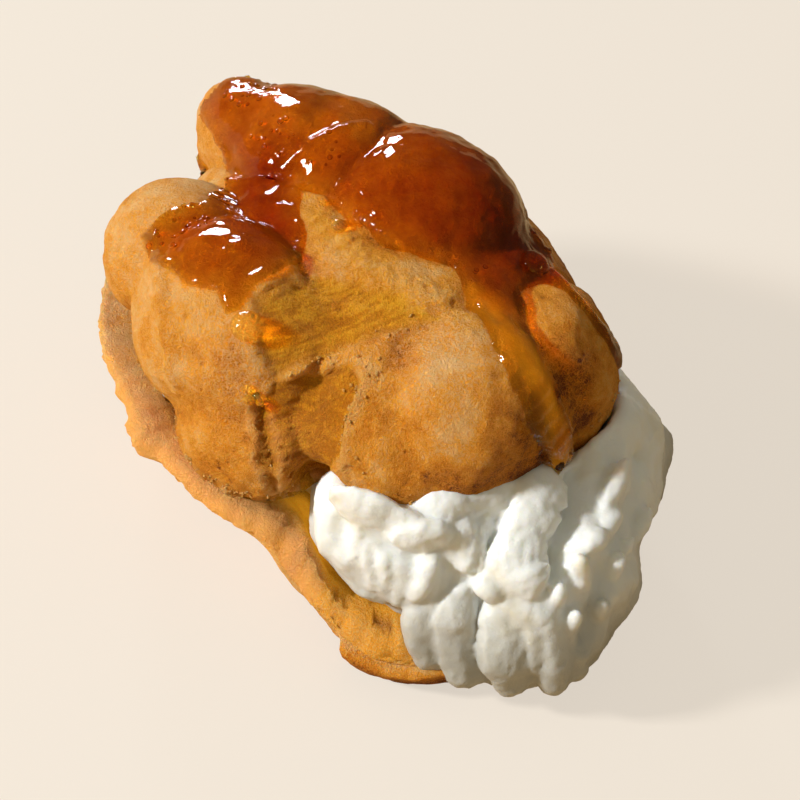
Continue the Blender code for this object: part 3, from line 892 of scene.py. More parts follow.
class CREAMPUFF_OT_lid(Operator):
    """Builds the lobed choux lid with its tears and crack"""

    bl_idname = "cream_puff.lid"
    bl_label = "Lid"

    def execute(self, context):
        look = context.scene.cream_puff.dough
        skin, directions = ball(*LID_GRID)
        form, outside, part, crease = lid_form(directions, 1.0)
        move_to(skin, form)
        face_outwards(skin)
        for valley in SOFT_VALLEYS:
            stretch_sheet(skin, (near(form, valley) > 0.37) & outside, 40)
        stretch_sheet(skin, (within_loop(form, UPPER_TEAR) > 0.2) & outside, 160)
        stretch_sheet(skin, (np.abs(within_loop(form, UPPER_TEAR)) < 2.5) & (form[:, 0] < -11.0) & outside,
            30)
        stretch_sheet(skin, (within_loop(form, LOWER_TEAR) > 0.4) & outside, 30)
        form = np.array([vertex.co[:] for vertex in skin.verts]) / MM
        outward = normals_of(skin)
        out = outside.astype(float)
        rag = lumps(form, 2.4, 21, 4)
        upper_depth = within_loop(form, UPPER_TEAR) + rag * 0.7
        lower_depth = within_loop(form, LOWER_TEAR) + rag * 0.35
        upper = smoothstep(-0.9, 1.6, upper_depth) * out
        lower = smoothstep(-0.5, 0.6, lower_depth) * out
        deep = np.clip(sum(near(form, spot) for spot in DEEP_TEAR), 0.0, 1.0) * lower
        crest = np.exp(-((nearest_on_path(form, CREST)[0] / 2.6) ** 2)) * out
        torn = np.maximum(upper, lower)
        strands = ridges(stretched(form, (1.0, 0.75, 0.25), 6.0), 1.0, 23) - 0.5
        webs = ridges(stretched(form, (1.0, 0.6, 0.2), 2.2), 2.6, 27, 1) - 0.5
        distance, along, offset, heading = nearest_on_path(form, FLAP_EDGE)
        side = np.sign(np.einsum("ij,ij->i", np.cross(heading, outward), offset))
        near_flap = np.exp(-((distance / 2.0) ** 2)) * smoothstep(0.0, 0.15, along) * smoothstep(1.0, 0.7,
            along)
        flap = side * near_flap * smoothstep(0.0, 0.35, distance)
        lobe_gap, lobe_along = nearest_on_path(form, LOBE_EDGE)[:2]
        lobe_edge = np.exp(-((lobe_gap / 1.3) ** 2)) * smoothstep(0.0, 0.2, lobe_along) * (1.0 - lower)
        split, far_along = nearest_on_path(form + lumps(form, 3.2, 31, 4)[:, None] * 0.4, CRACK)[:2]
        open_wide = np.interp(far_along, (0.0, 0.15, 0.6, 1.0), (0.3, 1.1, 1.2, 0.8)) * (1.0
            + lumps(form, 3.0, 35) * 0.3)
        groove = np.exp(-((split / open_wide) ** 2)) * out
        crack_lips = np.exp(-(((split - open_wide * 1.25) / 0.45) ** 2)) * out * (1.0 - groove)
        felt = near(form, FELT_BULGE) * out
        lip = smoothstep(0.93, 0.99, part)
        flakes = smoothstep(0.05, 0.5, lumps(stretched(form, (0.0, 0.0, 1.0), 0.5), 1.7, 15, 3))
        relief = crust_lumps(form) * (1.0 - 0.7 * torn) + lumps(form, 1.3, 6) * 0.08
        relief -= crease * (1.0 - upper) * 0.6
        relief += upper * (strands * 0.11 + webs * 0.08 - 0.6) + lower * (strands * 0.1 + webs * 0.12
            - 0.45) - deep * 0.8
        relief += crest * (0.45 + strands * 0.25 + lumps(form, 1.2, 47) * 0.2)
        relief += flap * 0.3 - groove * 1.1 + crack_lips * 0.25 + felt * (0.9 + lumps(form, 1.1, 49) * 0.4)
        relief += lobe_edge * (0.35 + lumps(form, 1.0, 52) * 0.3)
        relief += np.exp(-((nearest_on_path(form, SIDE_RIDGE)[0] / 1.1) ** 2)) * (1.2 + lumps(form, 2.0, 36)
            * 0.6) * out
        relief += lip * (flakes * 0.55 + lumps(form, 1.6, 15, 4) * 0.3)
        relief -= near(form, NOTCH) * 2.6 * out
        relief = np.where(outside, relief, lumps(form, 2.5, 16) * 0.25)
        points = form + outward * relief[:, None] + near(form, LOBE_CHIN)[:, None] * (0.0, -1.3, -2.4)
        move_to(skin, points)
        soaked = smoothstep(-0.6, 0.8, caramel_depth(form)) * out
        drip = np.exp(-((nearest_on_path(form, RUN_DOWN)[0] / 3.0) ** 2)) * smoothstep(-4.0, -9.0,
            form[:, 1]) * smoothstep(-21.0, -15.0, form[:, 1])
        right = smoothstep(8.0, 20.0, form[:, 0]) * 0.35
        upper_front = near(form, ((4.0, -16.5, 50.0), 7.5))
        under = smoothstep(34.0, 24.0, form[:, 2]) * out
        pale_left = smoothstep(-24.0, -31.0, form[:, 0])
        toast = 0.42 + lumps(form, 9.0, 33) * 0.2 + groove * 0.35 + crease * 0.2 - crest * 0.1 + right * 0.28
        toast += (under * 0.12 - pale_left * 0.14 - upper_front * 0.2 - crack_lips * 0.5 - lobe_edge * 0.4
            - lip * flakes * 0.5)
        masks = {
            "toast": np.clip(toast, 0.0, 1.0),
            "torn": np.clip(torn * 0.9 + (1.0 - out) + crest * 0.35 + lobe_edge * 0.5 + groove, 0.0, 1.0),
            # Depth is partly painted shade: the crumb is darker in the deep tears and the crack groove and lighter on
            # strands, webs and the crest.
            "depth": np.clip(0.34 + lower * 0.2 + deep * 0.25 + groove * 0.2 - strands * torn * 0.5 - webs
                * torn * 0.3 - crest * 0.35, 0.0, 1.0),
            # Painted glow: deep tears, soaked crust, the pool and most of all the crust under the caramel drip give
            # off a little light, standing in for light that comes through caramel and thin dough.
            "painted_glow": deep * 0.15 + soaked * (0.05 + 1.0 * drip + 0.1 * near(form, POOL)),
            "blush": np.clip(lip * flakes * 0.6 + crack_lips * 0.5 + felt * 0.15, 0.0, 1.0),
            "soaked": soaked,
            "fuzz": np.clip(0.12 + 0.95 * (near(form, FUZZY_SHOULDER) + upper_front) + pale_left * 0.1, 0.0,
                1.0) * (1.0 - torn),
        }
        material = dough_material("lid crust", look)
        piece = piece_from(skin, "choux_glazed_lid", material, masks)
        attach(piece, "root")
        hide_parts("choux_lid")
        return {"FINISHED"}


# Ropes of cream, each a half width, a half thickness and a path along the cream's surface.
CREAM_ROPES = (
    (2.8, 2.0, ((8.0, -30.2, 32.2), (12.0, -29.2, 32.6), (15.5, -27.2, 32.6), (18.4, -24.6, 33.0),
        (20.4, -21.6, 33.6))),
    (2.6, 1.7, ((13.0, -30.6, 31.2), (15.0, -30.6, 29.6), (16.5, -31.2, 27.6), (17.5, -32.6, 25.2))),
    (2.6, 2.0, ((-4.0, -27.6, 30.8), (-3.2, -29.4, 28.2), (-2.0, -31.6, 25.0), (-1.2, -32.8, 21.6),
        (-0.4, -32.6, 19.0))),
    (0.9, 1.4, ((0.2, -31.2, 29.4), (1.4, -32.8, 27.4), (1.8, -34.0, 24.4), (2.2, -34.0, 22.2))),
    (1.3, 1.5, ((2.8, -34.0, 26.6), (4.4, -34.7, 23.0), (5.4, -34.4, 19.4), (6.4, -33.6, 16.4))),
    (1.3, 1.6, ((5.6, -34.6, 26.4), (6.8, -35.0, 22.6), (7.4, -34.8, 18.6), (8.2, -33.6, 15.6))),
    (1.1, 1.5, ((8.0, -34.8, 26.0), (8.8, -35.2, 22.0), (9.2, -34.9, 18.4), (9.8, -33.8, 16.0))),
    (1.6, 1.9, ((12.0, -33.2, 27.6), (12.0, -34.4, 24.2), (11.6, -35.2, 21.0), (10.8, -34.6, 17.6))),
    (2.9, 2.1, ((13.4, -33.2, 25.6), (13.4, -34.6, 20.0), (14.2, -35.5, 14.4), (16.0, -35.9, 8.6),
        (17.4, -35.4, 4.4))),
    (2.8, 1.7, ((17.4, -33.2, 23.4), (17.6, -35.0, 18.4), (18.9, -36.1, 13.0), (21.0, -36.5, 8.4),
        (22.8, -36.0, 4.8))),
    (1.6, 1.6, ((18.4, -33.0, 24.0), (20.6, -33.2, 23.8), (22.6, -33.6, 22.6))),
    (3.9, 2.7, ((22.6, -33.4, 22.0), (24.8, -34.6, 18.2), (26.8, -35.4, 13.6), (28.4, -35.4, 8.6),
        (29.4, -34.6, 4.8))),
    (1.4, 1.4, ((26.4, -33.4, 21.6), (28.4, -34.4, 18.6), (29.8, -35.2, 14.6), (30.6, -35.3, 11.0))),
    (2.4, 2.3, ((29.2, -32.6, 22.4), (31.2, -33.8, 18.0), (33.0, -34.2, 13.0), (34.2, -33.6, 8.4),
        (34.4, -32.6, 5.2))),
    (2.0, 1.8, ((34.6, -31.6, 15.0), (36.0, -31.2, 11.6), (36.6, -30.6, 8.2), (36.4, -29.8, 5.8))),
)
# The broad rope that comes out from under the caramel run, flat on its lit side and toothed along the other.
BROAD_ROPE = ((22.4, -17.5, 34.6), (23.2, -21.4, 33.4), (23.5, -25.0, 31.8), (23.2, -28.0, 29.8),
    (23.0, -30.4, 27.4), (24.6, -31.8, 25.4), (26.6, -32.8, 23.4))
# Flat folds of cream, each a middle, the way it runs, its half length, width and thickness, and how far it leans out.
CREAM_PETALS = (
    ((4.6, -31.7, 29.6), (11.0, -4.6, -2.6), (9.0, 4.4, 1.5), 24.0),
    ((9.8, -32.4, 29.4), (3.5, 1.0, 0.4), (4.4, 3.2, 1.3), 16.0),
    ((32.9, -16.6, 31.0), (1.8, -8.0, -4.6), (5.2, 2.3, 1.6), -22.0),
    ((33.8, -20.6, 28.8), (0.6, -5.0, -1.4), (3.2, 1.7, 1.3), 24.0),
    ((32.2, -24.4, 29.2), (-1.8, -4.3, 0.6), (2.6, 1.5, 1.3), -18.0),
    ((38.9, -15.2, 23.4), (0.5, -3.4, -2.6), (3.6, 1.5, 1.3), 22.0),
    ((31.8, -28.2, 26.0), (5.0, -1.4, -6.6), (4.9, 1.3, 1.5), -20.0),
    ((29.6, -31.0, 23.6), (1.2, -0.8, -2.6), (3.0, 1.4, 1.4), -18.0),
    ((36.3, -24.2, 25.2), (0.8, -1.6, -2.4), (2.4, 1.0, 1.1), 22.0),
    ((37.0, -21.2, 25.4), (0.4, -2.6, -1.6), (2.4, 0.9, 1.0), -16.0),
    ((32.9, -31.7, 20.4), (1.0, -0.8, -3.0), (2.6, 1.0, 1.1), 18.0),
    ((36.4, -27.8, 19.4), (1.6, 0.2, -4.0), (3.2, 1.1, 1.1), -18.0),
    ((39.6, -21.6, 18.6), (0.8, 0.6, -4.0), (3.4, 1.4, 1.1), 18.0),
)
# Hollows between the folds, each how far it reaches, how deep it is and its path.
CREAM_HOLLOWS = (
    (2.2, 3.0, ((26.8, -16.0, 34.5), (27.4, -19.5, 33.0), (27.6, -23.5, 31.5), (27.2, -27.0, 30.0),
        (26.6, -29.6, 27.6))),
    (1.0, 1.5, ((18.8, -27.4, 31.2), (19.0, -30.0, 28.8), (20.0, -31.8, 26.4))),
    (1.1, 1.3, ((15.4, -34.0, 21.5), (15.9, -35.2, 16.0), (17.4, -35.8, 11.0), (18.8, -35.6, 6.5))),
    (1.3, 1.7, ((20.2, -33.6, 20.8), (21.2, -35.2, 16.0), (23.0, -36.2, 12.0), (25.0, -36.0, 8.0),
        (25.8, -35.4, 5.0))),
    (1.6, 1.8, ((35.2, -26.0, 26.0), (35.6, -28.6, 21.5), (35.2, -31.0, 16.5))),
    (2.0, 1.8, ((36.6, -9.0, 31.0), (37.0, -13.5, 28.0), (36.4, -18.0, 27.5))),
    (1.2, 1.6, ((2.6, -33.2, 29.0), (5.6, -34.8, 27.4), (9.0, -34.8, 27.0), (11.4, -33.6, 27.4))),
    (1.0, 1.2, ((31.6, -31.6, 21.8), (32.6, -33.0, 17.0), (33.6, -32.6, 12.0))),
)
ROUGH_CREAM = ((16.5, -32.0, 27.5), 7.0)


def through(path, count):
    """Evenly numbered points on a smooth curve through a path."""
    path = np.asarray(path, dtype=float)
    ends = np.vstack([2 * path[0] - path[1], path, 2 * path[-1] - path[-2]])
    at = np.linspace(0.0, len(path) - 1.0, count)
    index = np.minimum(at.astype(int), len(path) - 2)
    t = (at - index)[:, None]
    a, b, c, d = (ends[index + k] for k in range(4))
    return 0.5 * (2 * b + (c - a) * t + (2 * a - 5 * b + 4 * c - d) * t**2 + (3 * b - a - 3 * c + d) * t**3)


def lay_rope(skin, half_width, half_thickness, path, middle, seed, tooth=0.02, proud=0.55, lean=0.0):
    """Adds a closed rope of cream along a path, sunk until only its proud share stands out."""
    made, ball_points = add_ball(skin, 28, 64)
    line = through(path, 60)
    share = np.arccos(np.clip(ball_points[:, 2], -1.0, 1.0)) / math.pi
    at = share * 59.0
    index = np.minimum(at.astype(int), 58)
    t = (at - index)[:, None]
    centre = line[index] * (1.0 - t) + line[index + 1] * t
    heading = line[index + 1] - line[index]
    heading /= np.linalg.norm(heading, axis=1)[:, None]
    away = centre - middle
    away -= heading * np.einsum("ij,ij->i", away, heading)[:, None]
    away /= np.linalg.norm(away, axis=1)[:, None]
    across = np.cross(heading, away)
    angle = np.arctan2(ball_points[:, 1], ball_points[:, 0])
    round_end = np.sqrt(np.clip(1.0 - np.abs(2.0 * share - 1.0) ** 5, 0.0, 1.0))
    run = np.linalg.norm(np.diff(line, axis=0), axis=1).sum()
    teeth = 1.0 + tooth * np.sin(share * run * 5.2 + 1.5 * np.sin(share * run * 1.7)) * smoothstep(0.0, -0.9,
        np.cos(angle))
    sway = 1.0 + 0.12 * np.sin(share * run * 0.5 + seed * 2.0)
    size = round_end * teeth * sway
    turn = math.radians(lean)
    across, away = (across * math.cos(turn) - away * math.sin(turn), away * math.cos(turn) + across
        * math.sin(turn))
    points = centre - away * half_thickness * (1.0 - proud)
    points += across * (np.cos(angle) * half_width * size)[:, None]
    points += away * (np.sin(angle) * half_thickness * size)[:, None]
    for vertex, point in zip(made, points * MM):
        vertex.co = point


def add_dome(skin, middle, up, size, height, fineness):
    """Adds a ball of a size in mm, flattened along one direction."""
    up = Vector(up)
    for vertex in bmesh.ops.create_icosphere(skin, subdivisions=fineness, radius=1.0)["verts"]:
        vertex.co = Vector(middle) + (vertex.co - up * vertex.co.dot(up) * (1.0 - height)) * size * MM


def add_mesh_of(source, target):
    """Moves everything in one bmesh into another."""
    mesh = bpy.data.meshes.new("joined")
    source.to_mesh(mesh)
    source.free()
    target.from_mesh(mesh)
    bpy.data.meshes.remove(mesh)


def lay_petal(skin, place, run, half_sizes, lean, middle):
    """Adds a flat fold of cream, one long edge of which leans out from the rest."""
    made, ways = add_ball(skin, 30, 22)
    away = np.asarray(place) - middle
    away /= np.linalg.norm(away)
    run = np.asarray(run) - away * (away @ np.asarray(run))
    run /= np.linalg.norm(run)
    turn = math.radians(lean)
    across = np.cross(away, run) * math.cos(turn) + away * math.sin(turn)
    face = np.cross(run, across)
    points = np.asarray(place) + (ways * half_sizes) @ np.array((run, across, face))
    for vertex, point in zip(made, points * MM):
        vertex.co = point


def merged(piece_mesh, grid):
    """The outer skin of overlapping closed shapes, as one mesh of even cells."""
    holder = bpy.data.objects.new("merging", piece_mesh)
    bpy.context.scene.collection.objects.link(holder)
    remesh = holder.modifiers.new("merge", "REMESH")
    remesh.mode = "VOXEL"
    remesh.voxel_size = grid
    shown = holder.evaluated_get(bpy.context.evaluated_depsgraph_get())
    result = bpy.data.meshes.new_from_object(shown)
    bpy.data.objects.remove(holder)
    return result


class CREAMPUFF_OT_cream(Operator):
    """Builds the whipped cream from its core and the ropes piped over it"""

    bl_idname = "cream_puff.cream"
    bl_label = "Whipped Cream"

    def execute(self, context):
        look = context.scene.cream_puff.cream
        skin = bmesh.new()
        skin.from_mesh(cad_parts["whipped_cream"].data)
        bmesh.ops.remove_doubles(skin, verts=skin.verts, dist=0.00001)
        face_outwards(skin)
        mesh = bpy.data.meshes.new("cream core")
        skin.to_mesh(mesh)
        skin.free()
        core = merged(mesh, look.grid * 1.4)
        skin = bmesh.new()
        skin.from_mesh(core)
        smoothed(skin, 5)
        form = np.array([vertex.co[:] for vertex in skin.verts]) / MM
        sunk = np.zeros(len(form))
        for reach, depth, path in CREAM_HOLLOWS:
            sunk = np.maximum(sunk, depth * np.exp(-((nearest_on_path(form, path)[0] / reach) ** 2)))
        move_to(skin, form - normals_of(skin) * sunk[:, None])
        middle = np.array(CREAM_MIDDLE)
        for index, (half_width, half_thickness, path) in enumerate(CREAM_ROPES):
            lay_rope(skin, half_width, half_thickness, path, middle, index * 1.3)
        lay_rope(skin, 3.7, 2.0, BROAD_ROPE, middle, 0.0, 0.16, 0.75, 28.0)
        for place, run, half_sizes, lean in CREAM_PETALS:
            lay_petal(skin, place, run, half_sizes, lean, middle)
        mesh = bpy.data.meshes.new("cream ropes")
        skin.to_mesh(mesh)
        skin.free()
        solid = merged(mesh, look.grid)
        skin = bmesh.new()
        skin.from_mesh(solid)
        smoothed(skin, 2)
        form = np.array([vertex.co[:] for vertex in skin.verts]) / MM
        rough = 0.4 + near(form, ROUGH_CREAM) * 0.9
        folds = ridges(stretched(form, (0.2, -0.3, -0.9), 2.4), 2.8, 59)
        relief = lumps(form, 6.5, 51, 2) * 0.4 + lumps(form, 1.5, 53) * 0.1 * rough + ridges(form, 1.6,
            57) * 0.16 * rough + folds * 0.2
        points = form + normals_of(skin) * relief[:, None]
        points[:, 2] = np.maximum(points[:, 2], 0.3)
        move_to(skin, points)
        # The low mask is painted shade, strongest near the table.
        masks = {"low": smoothstep(27.0, 10.0, form[:, 2])}
        piece = piece_from(skin, "piped_cream", cream_material(look), masks)
        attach(piece, "root")
        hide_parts("whipped_cream")
        return {"FINISHED"}


BURIED = -1.3  # how far above the crust the caramel's hidden underside and outer edge lie, in mm


def close_underneath(skin, drops, masks, kept):
    """Keeps part of a skin and closes it with an underside, each vertex of which lies its drop lower."""
    skin.verts.layers.float_vector.new("drop")
    for name in masks:
        skin.verts.layers.float.new(name)
    for name, values in masks.items():
        layer = skin.verts.layers.float[name]
        for vertex, value in zip(skin.verts, values):
            vertex[layer] = value
    drop = skin.verts.layers.float_vector["drop"]
    gone = []
    for vertex, down, stays in zip(skin.verts, drops, kept):
        vertex[drop] = down
        if not stays:
            gone.append(vertex)
    bmesh.ops.delete(skin, geom=gone, context="VERTS")
    whole = skin.verts[:] + skin.edges[:] + skin.faces[:]
    copied = bmesh.ops.duplicate(skin, geom=whole)["geom"]
    for vertex in (part for part in copied if isinstance(part, bmesh.types.BMVert)):
        vertex.co -= vertex[drop]
    bmesh.ops.reverse_faces(skin, faces=[part for part in copied if isinstance(part, bmesh.types.BMFace)])
    rim = [vertex for vertex in skin.verts if vertex.is_boundary]
    merge_within(skin, rim, 0.000001)
    skin.verts.layers.float_vector.remove(drop)


class CREAMPUFF_OT_caramel(Operator):
    """Builds the caramel skin that lies over the lid"""

    bl_idname = "cream_puff.caramel"
    bl_label = "Caramel Glaze"

    def execute(self, context):
        look = context.scene.cream_puff.caramel
        skin, directions = ball(*LID_GRID)
        form, outside, _, _ = lid_form(directions, 1.8)
        move_to(skin, form)
        face_outwards(skin)
        outward = normals_of(skin)
        depth = caramel_depth(form)
        film = look.film / MM
        rise = BURIED + (film - BURIED) * smoothstep(-0.9, 0.4, depth) + 0.3 * smoothstep(0.5, 5.0, depth)
        rise += (0.3 + lumps(form, 2.0, 76) * 0.25) * np.exp(-(((depth - 0.9) / 0.6) ** 2)) + lumps(form,
            3.0, 71, 2) * 0.1
        rise += crust_lumps(form)
        run_gap, along = nearest_on_path(form, RUN_DOWN)[:2]
        run = np.exp(-((run_gap / 4.5) ** 2)) * smoothstep(0.2, 0.5, along)
        rise += run * 0.3 * np.sin(along * 55.0) ** 8 + run * smoothstep(0.6, 1.0, along) * 0.8
        rise += 0.8 * np.exp(-((nearest_on_path(form, SUGAR_LIP)[0] / 0.9) ** 2))
        rise = np.where(depth < -0.9, BURIED, rise)
        move_to(skin, form + outward * rise[:, None])
        pools = sum(near(form, (place, reach)) * strength for place, reach, strength in DARK_POOLS)
        amount = np.clip(smoothstep(-0.3, 4.0, depth) * 0.3 + pools + lumps(form, 6.0, 73) * 0.1, 0.0, 1.0)
        froth = np.clip(sum(near(form, spot) for spot in FROTHY), 0.0, 1.0)
        kept = (depth > -1.6) & outside
        close_underneath(skin, outward * (rise - BURIED)[:, None] * MM, {"thick": amount, "froth": froth},
            kept)
        chance = np.random.default_rng(11)
        bubbles = [(np.argmin(np.linalg.norm(form - BIG_BUBBLE[0], axis=1)), BIG_BUBBLE[1], 3)]
        for place, reach in FROTHY:
            spots = np.flatnonzero((near(form, (place, reach)) > 0.3) & (depth > 0.2) & outside)
            bubbles += [(spot, chance.uniform(0.2, 0.5), 2) for spot in chance.choice(spots,
                int(reach * reach * 1.3))]
        froth_skin = bmesh.new()
        for spot, size, fineness in bubbles:
            middle = (form[spot] + outward[spot] * rise[spot]) * MM
            add_dome(froth_skin, middle, outward[spot], size, 0.6, fineness)
        add_mesh_of(froth_skin, skin)
        piece = piece_from(skin, "caramel_glaze", caramel_material("caramel glaze", look, 620.0))
        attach(piece, "root")
        return {"FINISHED"}


# Beads of caramel, each a place, a reach, how flat it lies and how fine its surface is.
CARAMEL_BEADS = (
    ((-20.0, -21.5, 46.4), 2.1, 0.8, 4),
    ((-13.1, -1.6, 48.7), 1.15, 0.85, 4),
    ((-16.2, 3.0, 48.0), 0.6, 0.9, 3),
    ((-17.2, -26.8, 39.4), 1.1, 0.9, 1),
    ((-16.2, -26.6, 40.0), 0.9, 0.9, 1),
    ((-17.6, -26.2, 40.4), 0.8, 0.9, 1),
    ((-15.6, -26.6, 39.2), 0.7, 0.9, 1),
)


class CREAMPUFF_OT_beads(Operator):
    """Builds the beads of caramel that sit on the crust"""

    bl_idname = "cream_puff.beads"
    bl_label = "Caramel Beads"

    def execute(self, context):
        look = context.scene.cream_puff.caramel
        lid = surface_of("choux_glazed_lid")
        skin = bmesh.new()
        for mask in ("thick", "froth"):
            skin.verts.layers.float.new(mask)
        thick, froth = (skin.verts.layers.float[mask] for mask in ("thick", "froth"))
        for index, (place, reach, flat, fineness) in enumerate(CARAMEL_BEADS):
            spot, up, _, _ = lid.find_nearest(Vector(place) * MM)
            made = bmesh.ops.create_icosphere(skin, subdivisions=fineness, radius=1.0)["verts"]
            ways = np.array([vertex.co[:] for vertex in made])
            uneven = 0.05 if fineness > 2 else 0.6
            swell = reach * (1.0 + lumps(ways * 3.0, 3.0, 81 + index) * uneven)
            rise = ways @ np.array(up[:])
            offsets = ways * swell[:, None] - np.array(up[:]) * (rise * swell * (1.0 - flat))[:, None]
            middle = np.array(spot[:]) + np.array(up[:]) * reach * flat * 0.45 * MM
            for vertex, offset in zip(made, offsets):
                vertex.co = middle + offset * MM
                vertex[thick] = 0.12
                vertex[froth] = 0.5
        piece = piece_from(skin, "caramel_beads", caramel_material("caramel beads", look, 900.0, 0.85))
        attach(piece, "root")
        return {"FINISHED"}


# Places where flakes of crust have come loose, each a path, how far from it they lie, and how many.
CRUMB_TRAILS = (
    (((-34.0, -17.0, 30.0), (-24.0, -28.0, 25.0), (-15.0, -31.0, 24.5), (-8.0, -30.0, 25.5)), 1.2, 60),
    (((-2.0, -29.5, 30.5), (5.0, -31.0, 31.5), (12.0, -30.0, 32.0), (18.0, -26.0, 32.5),
        (22.5, -20.0, 33.0)), 1.0, 55),
    (LOBE_EDGE, 0.9, 30),
    (CRACK, 1.4, 8),
    (FLAP_EDGE, 0.8, 14),
    (((26.5, -14.0, 35.0), (29.5, -9.0, 36.0), (30.0, -3.0, 36.0)), 0.8, 14),
)


def surface_of(name):
    """A finished piece's surface, to set things down on."""
    return BVHTree.FromObject(bpy.data.objects[name], bpy.context.evaluated_depsgraph_get())


class CREAMPUFF_OT_crumbs(Operator):
    """Builds the loose flakes of crust along the lid's torn edges"""

    bl_idname = "cream_puff.crumbs"
    bl_label = "Crumbs"

    def execute(self, context):
        look = context.scene.cream_puff.dough
        lid = surface_of("choux_glazed_lid")
        chance = np.random.default_rng(5)
        skin = bmesh.new()
        for path, spread, count in CRUMB_TRAILS:
            line = through(path, 80)
            for _ in range(count):
                place = line[chance.integers(80)] + chance.normal(size=3) * spread
                spot, up, _, _ = lid.find_nearest(Vector(place) * MM)
                size = np.array((0.26, 0.18, 0.09)) * chance.uniform(0.6, 1.7)
                made = bmesh.ops.create_icosphere(skin, subdivisions=1, radius=1.0)["verts"]
                turn = np.linalg.qr(chance.normal(size=(3, 3)))[0]
                for vertex in made:
                    way = turn @ (np.array(vertex.co[:]) * size * chance.uniform(0.7, 1.3, 3))
                    vertex.co = np.array(spot[:]) + way * MM + np.array(up[:]) * 0.00008
        count = len(skin.verts)
        masks = {"toast": np.full(count, 0.12), "torn": np.zeros(count), "depth": np.zeros(count),
            "blush": np.full(count, 0.3)}
        piece = piece_from(skin, "crust_crumbs", dough_material("crumbs", look), masks)
        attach(piece, "root")
        return {"FINISHED"}


CAMERA_AIM = (1.7, -4.9, 23.2)
CAMERA_DISTANCE = 0.3
CAMERA_HEIGHT = 48.0  # degrees up from the table
CAMERA_ROLL = 17.0
LENS = 94.5
LAMP_AIM = (0.0, 0.0, 0.025)
# Lamps in metres and watts, each a name, place, size, power and tone, and whether only the glaze sees it.
LAMPS = (
    ("window", (-0.76, -0.38, 0.50), (0.10, 0.10), 11.9, (1.0, 0.985, 0.96), False),
    ("back window", (-0.45, 0.85, 0.22), (0.14, 0.10), 2.0, (0.80, 0.90, 1.0), False),
    ("window seen in glaze", (-0.78, -0.34, 0.54), (0.17, 0.12), 3.2, (0.92, 0.96, 1.0), True),
    ("back window seen in glaze", (-0.50, 0.80, 0.30), (0.28, 0.20), 6.0, (0.78, 0.87, 1.0), True),
)


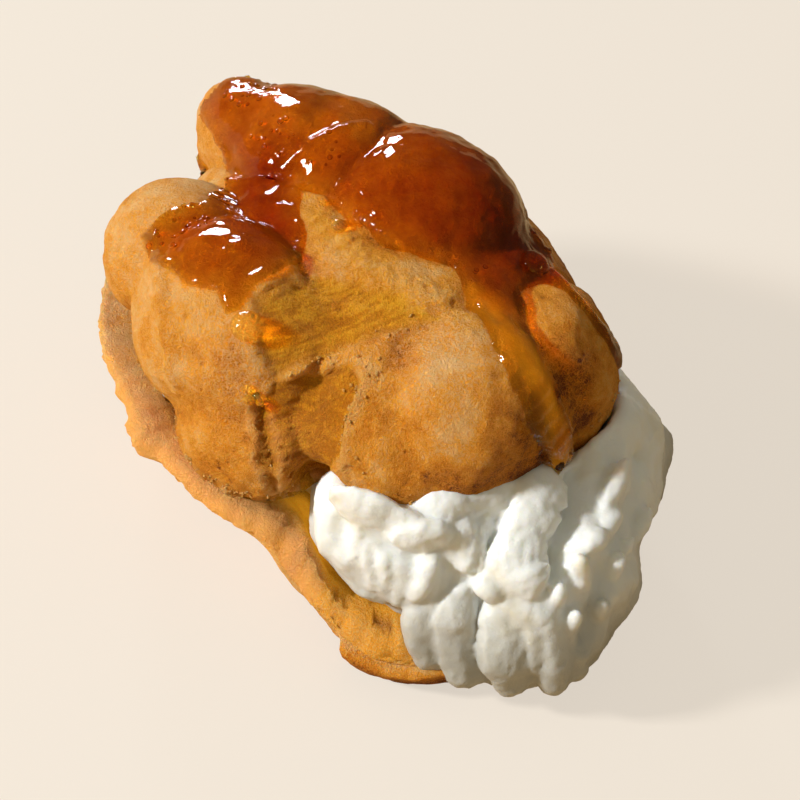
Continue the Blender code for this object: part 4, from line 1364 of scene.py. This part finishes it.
class CREAMPUFF_OT_stage(Operator):
    """Builds the floor, the lights and the camera"""

    bl_idname = "cream_puff.stage"
    bl_label = "Stage"

    def execute(self, context):
        scene = context.scene
        look = scene.cream_puff.stage
        skin = bmesh.new()
        bmesh.ops.create_grid(skin, x_segments=1, y_segments=1, size=2.0)
        floor = piece_from(skin, "pale_floor", floor_material(look))

        for name, place, size, power, tone, glaze_only in LAMPS:
            data = bpy.data.lights.new(name, "AREA")
            data.shape = "RECTANGLE"
            data.size, data.size_y = size
            data.energy = power * look.key
            data.color = tone
            lamp = bpy.data.objects.new(name, data)
            scene.collection.objects.link(lamp)
            lamp.location = place
            lamp.rotation_mode = "QUATERNION"
            lamp.rotation_quaternion = (Vector(place) - Vector(LAMP_AIM)).to_track_quat("Z", "Y")
            lamp.visible_diffuse = not glaze_only
            lamp.visible_transmission = not glaze_only
        world = bpy.data.worlds.new("room")
        scene.world = world
        world.use_nodes = True
        wires = Wires(world.node_tree)
        room = world.node_tree.nodes["Background"]
        room.inputs["Color"].default_value = (1.0, 0.88, 0.66, 1.0)
        paths = wires.add("ShaderNodeLightPath")
        wires.join(wires.spread(paths.outputs["Is Glossy Ray"], 0.0, 1.0, look.fill, look.fill * 0.25),
            room.inputs["Strength"])
        wall = wires.add("ShaderNodeBackground")
        wall.inputs["Color"].default_value = (*look.floor, 1.0)
        mix = wires.add("ShaderNodeMixShader")
        wires.join(paths.outputs["Is Camera Ray"], mix.inputs[0])
        wires.join(room.outputs[0], mix.inputs[1])
        wires.join(wall.outputs[0], mix.inputs[2])
        wires.join(mix.outputs[0], world.node_tree.nodes["World Output"].inputs["Surface"])

        data = bpy.data.cameras.new("camera")
        camera = bpy.data.objects.new("camera", data)
        scene.collection.objects.link(camera)
        data.sensor_width = 36.0
        data.lens = LENS
        data.clip_start = 0.01
        aim = Vector(CAMERA_AIM) * MM
        tilt = math.radians(CAMERA_HEIGHT)
        back = Vector((0.0, -math.cos(tilt), math.sin(tilt)))
        roll = Matrix.Rotation(math.radians(CAMERA_ROLL), 4, "Z")
        camera.matrix_world = Matrix.Translation(aim + back * CAMERA_DISTANCE) @ back.to_track_quat("Z",
            "Y").to_matrix().to_4x4() @ roll
        scene.camera = camera
        scene.view_settings.view_transform = "Standard"
        return {"FINISHED"}


class CREAMPUFF_PT_panel(Panel):
    """Lists the steps that build the cream puff"""

    bl_idname = "CREAMPUFF_PT_panel"
    bl_label = "Cream Puff"
    bl_space_type = "VIEW_3D"
    bl_region_type = "UI"
    bl_category = "Cream Puff"

    def draw(self, context):
        for step in STEPS:
            self.layout.operator(step.bl_idname)


STEPS = (
    CREAMPUFF_OT_base,
    CREAMPUFF_OT_lid,
    CREAMPUFF_OT_cream,
    CREAMPUFF_OT_caramel,
    CREAMPUFF_OT_beads,
    CREAMPUFF_OT_crumbs,
    CREAMPUFF_OT_stage,
)
CLASSES = (PuffDough, PuffCream, PuffCaramel, PuffStage, PuffSettings) + STEPS + (CREAMPUFF_PT_panel,)


def register():
    for kind in CLASSES:
        bpy.utils.register_class(kind)
    bpy.types.Scene.cream_puff = PointerProperty(type=PuffSettings)


def unregister():
    del bpy.types.Scene.cream_puff
    for kind in reversed(CLASSES):
        bpy.utils.unregister_class(kind)


def main():
    register()
    bpy.ops.cream_puff.base()
    bpy.ops.cream_puff.lid()
    bpy.ops.cream_puff.cream()
    bpy.ops.cream_puff.caramel()
    bpy.ops.cream_puff.beads()
    bpy.ops.cream_puff.crumbs()
    bpy.ops.cream_puff.stage()


if __name__ == "__main__":
    main()
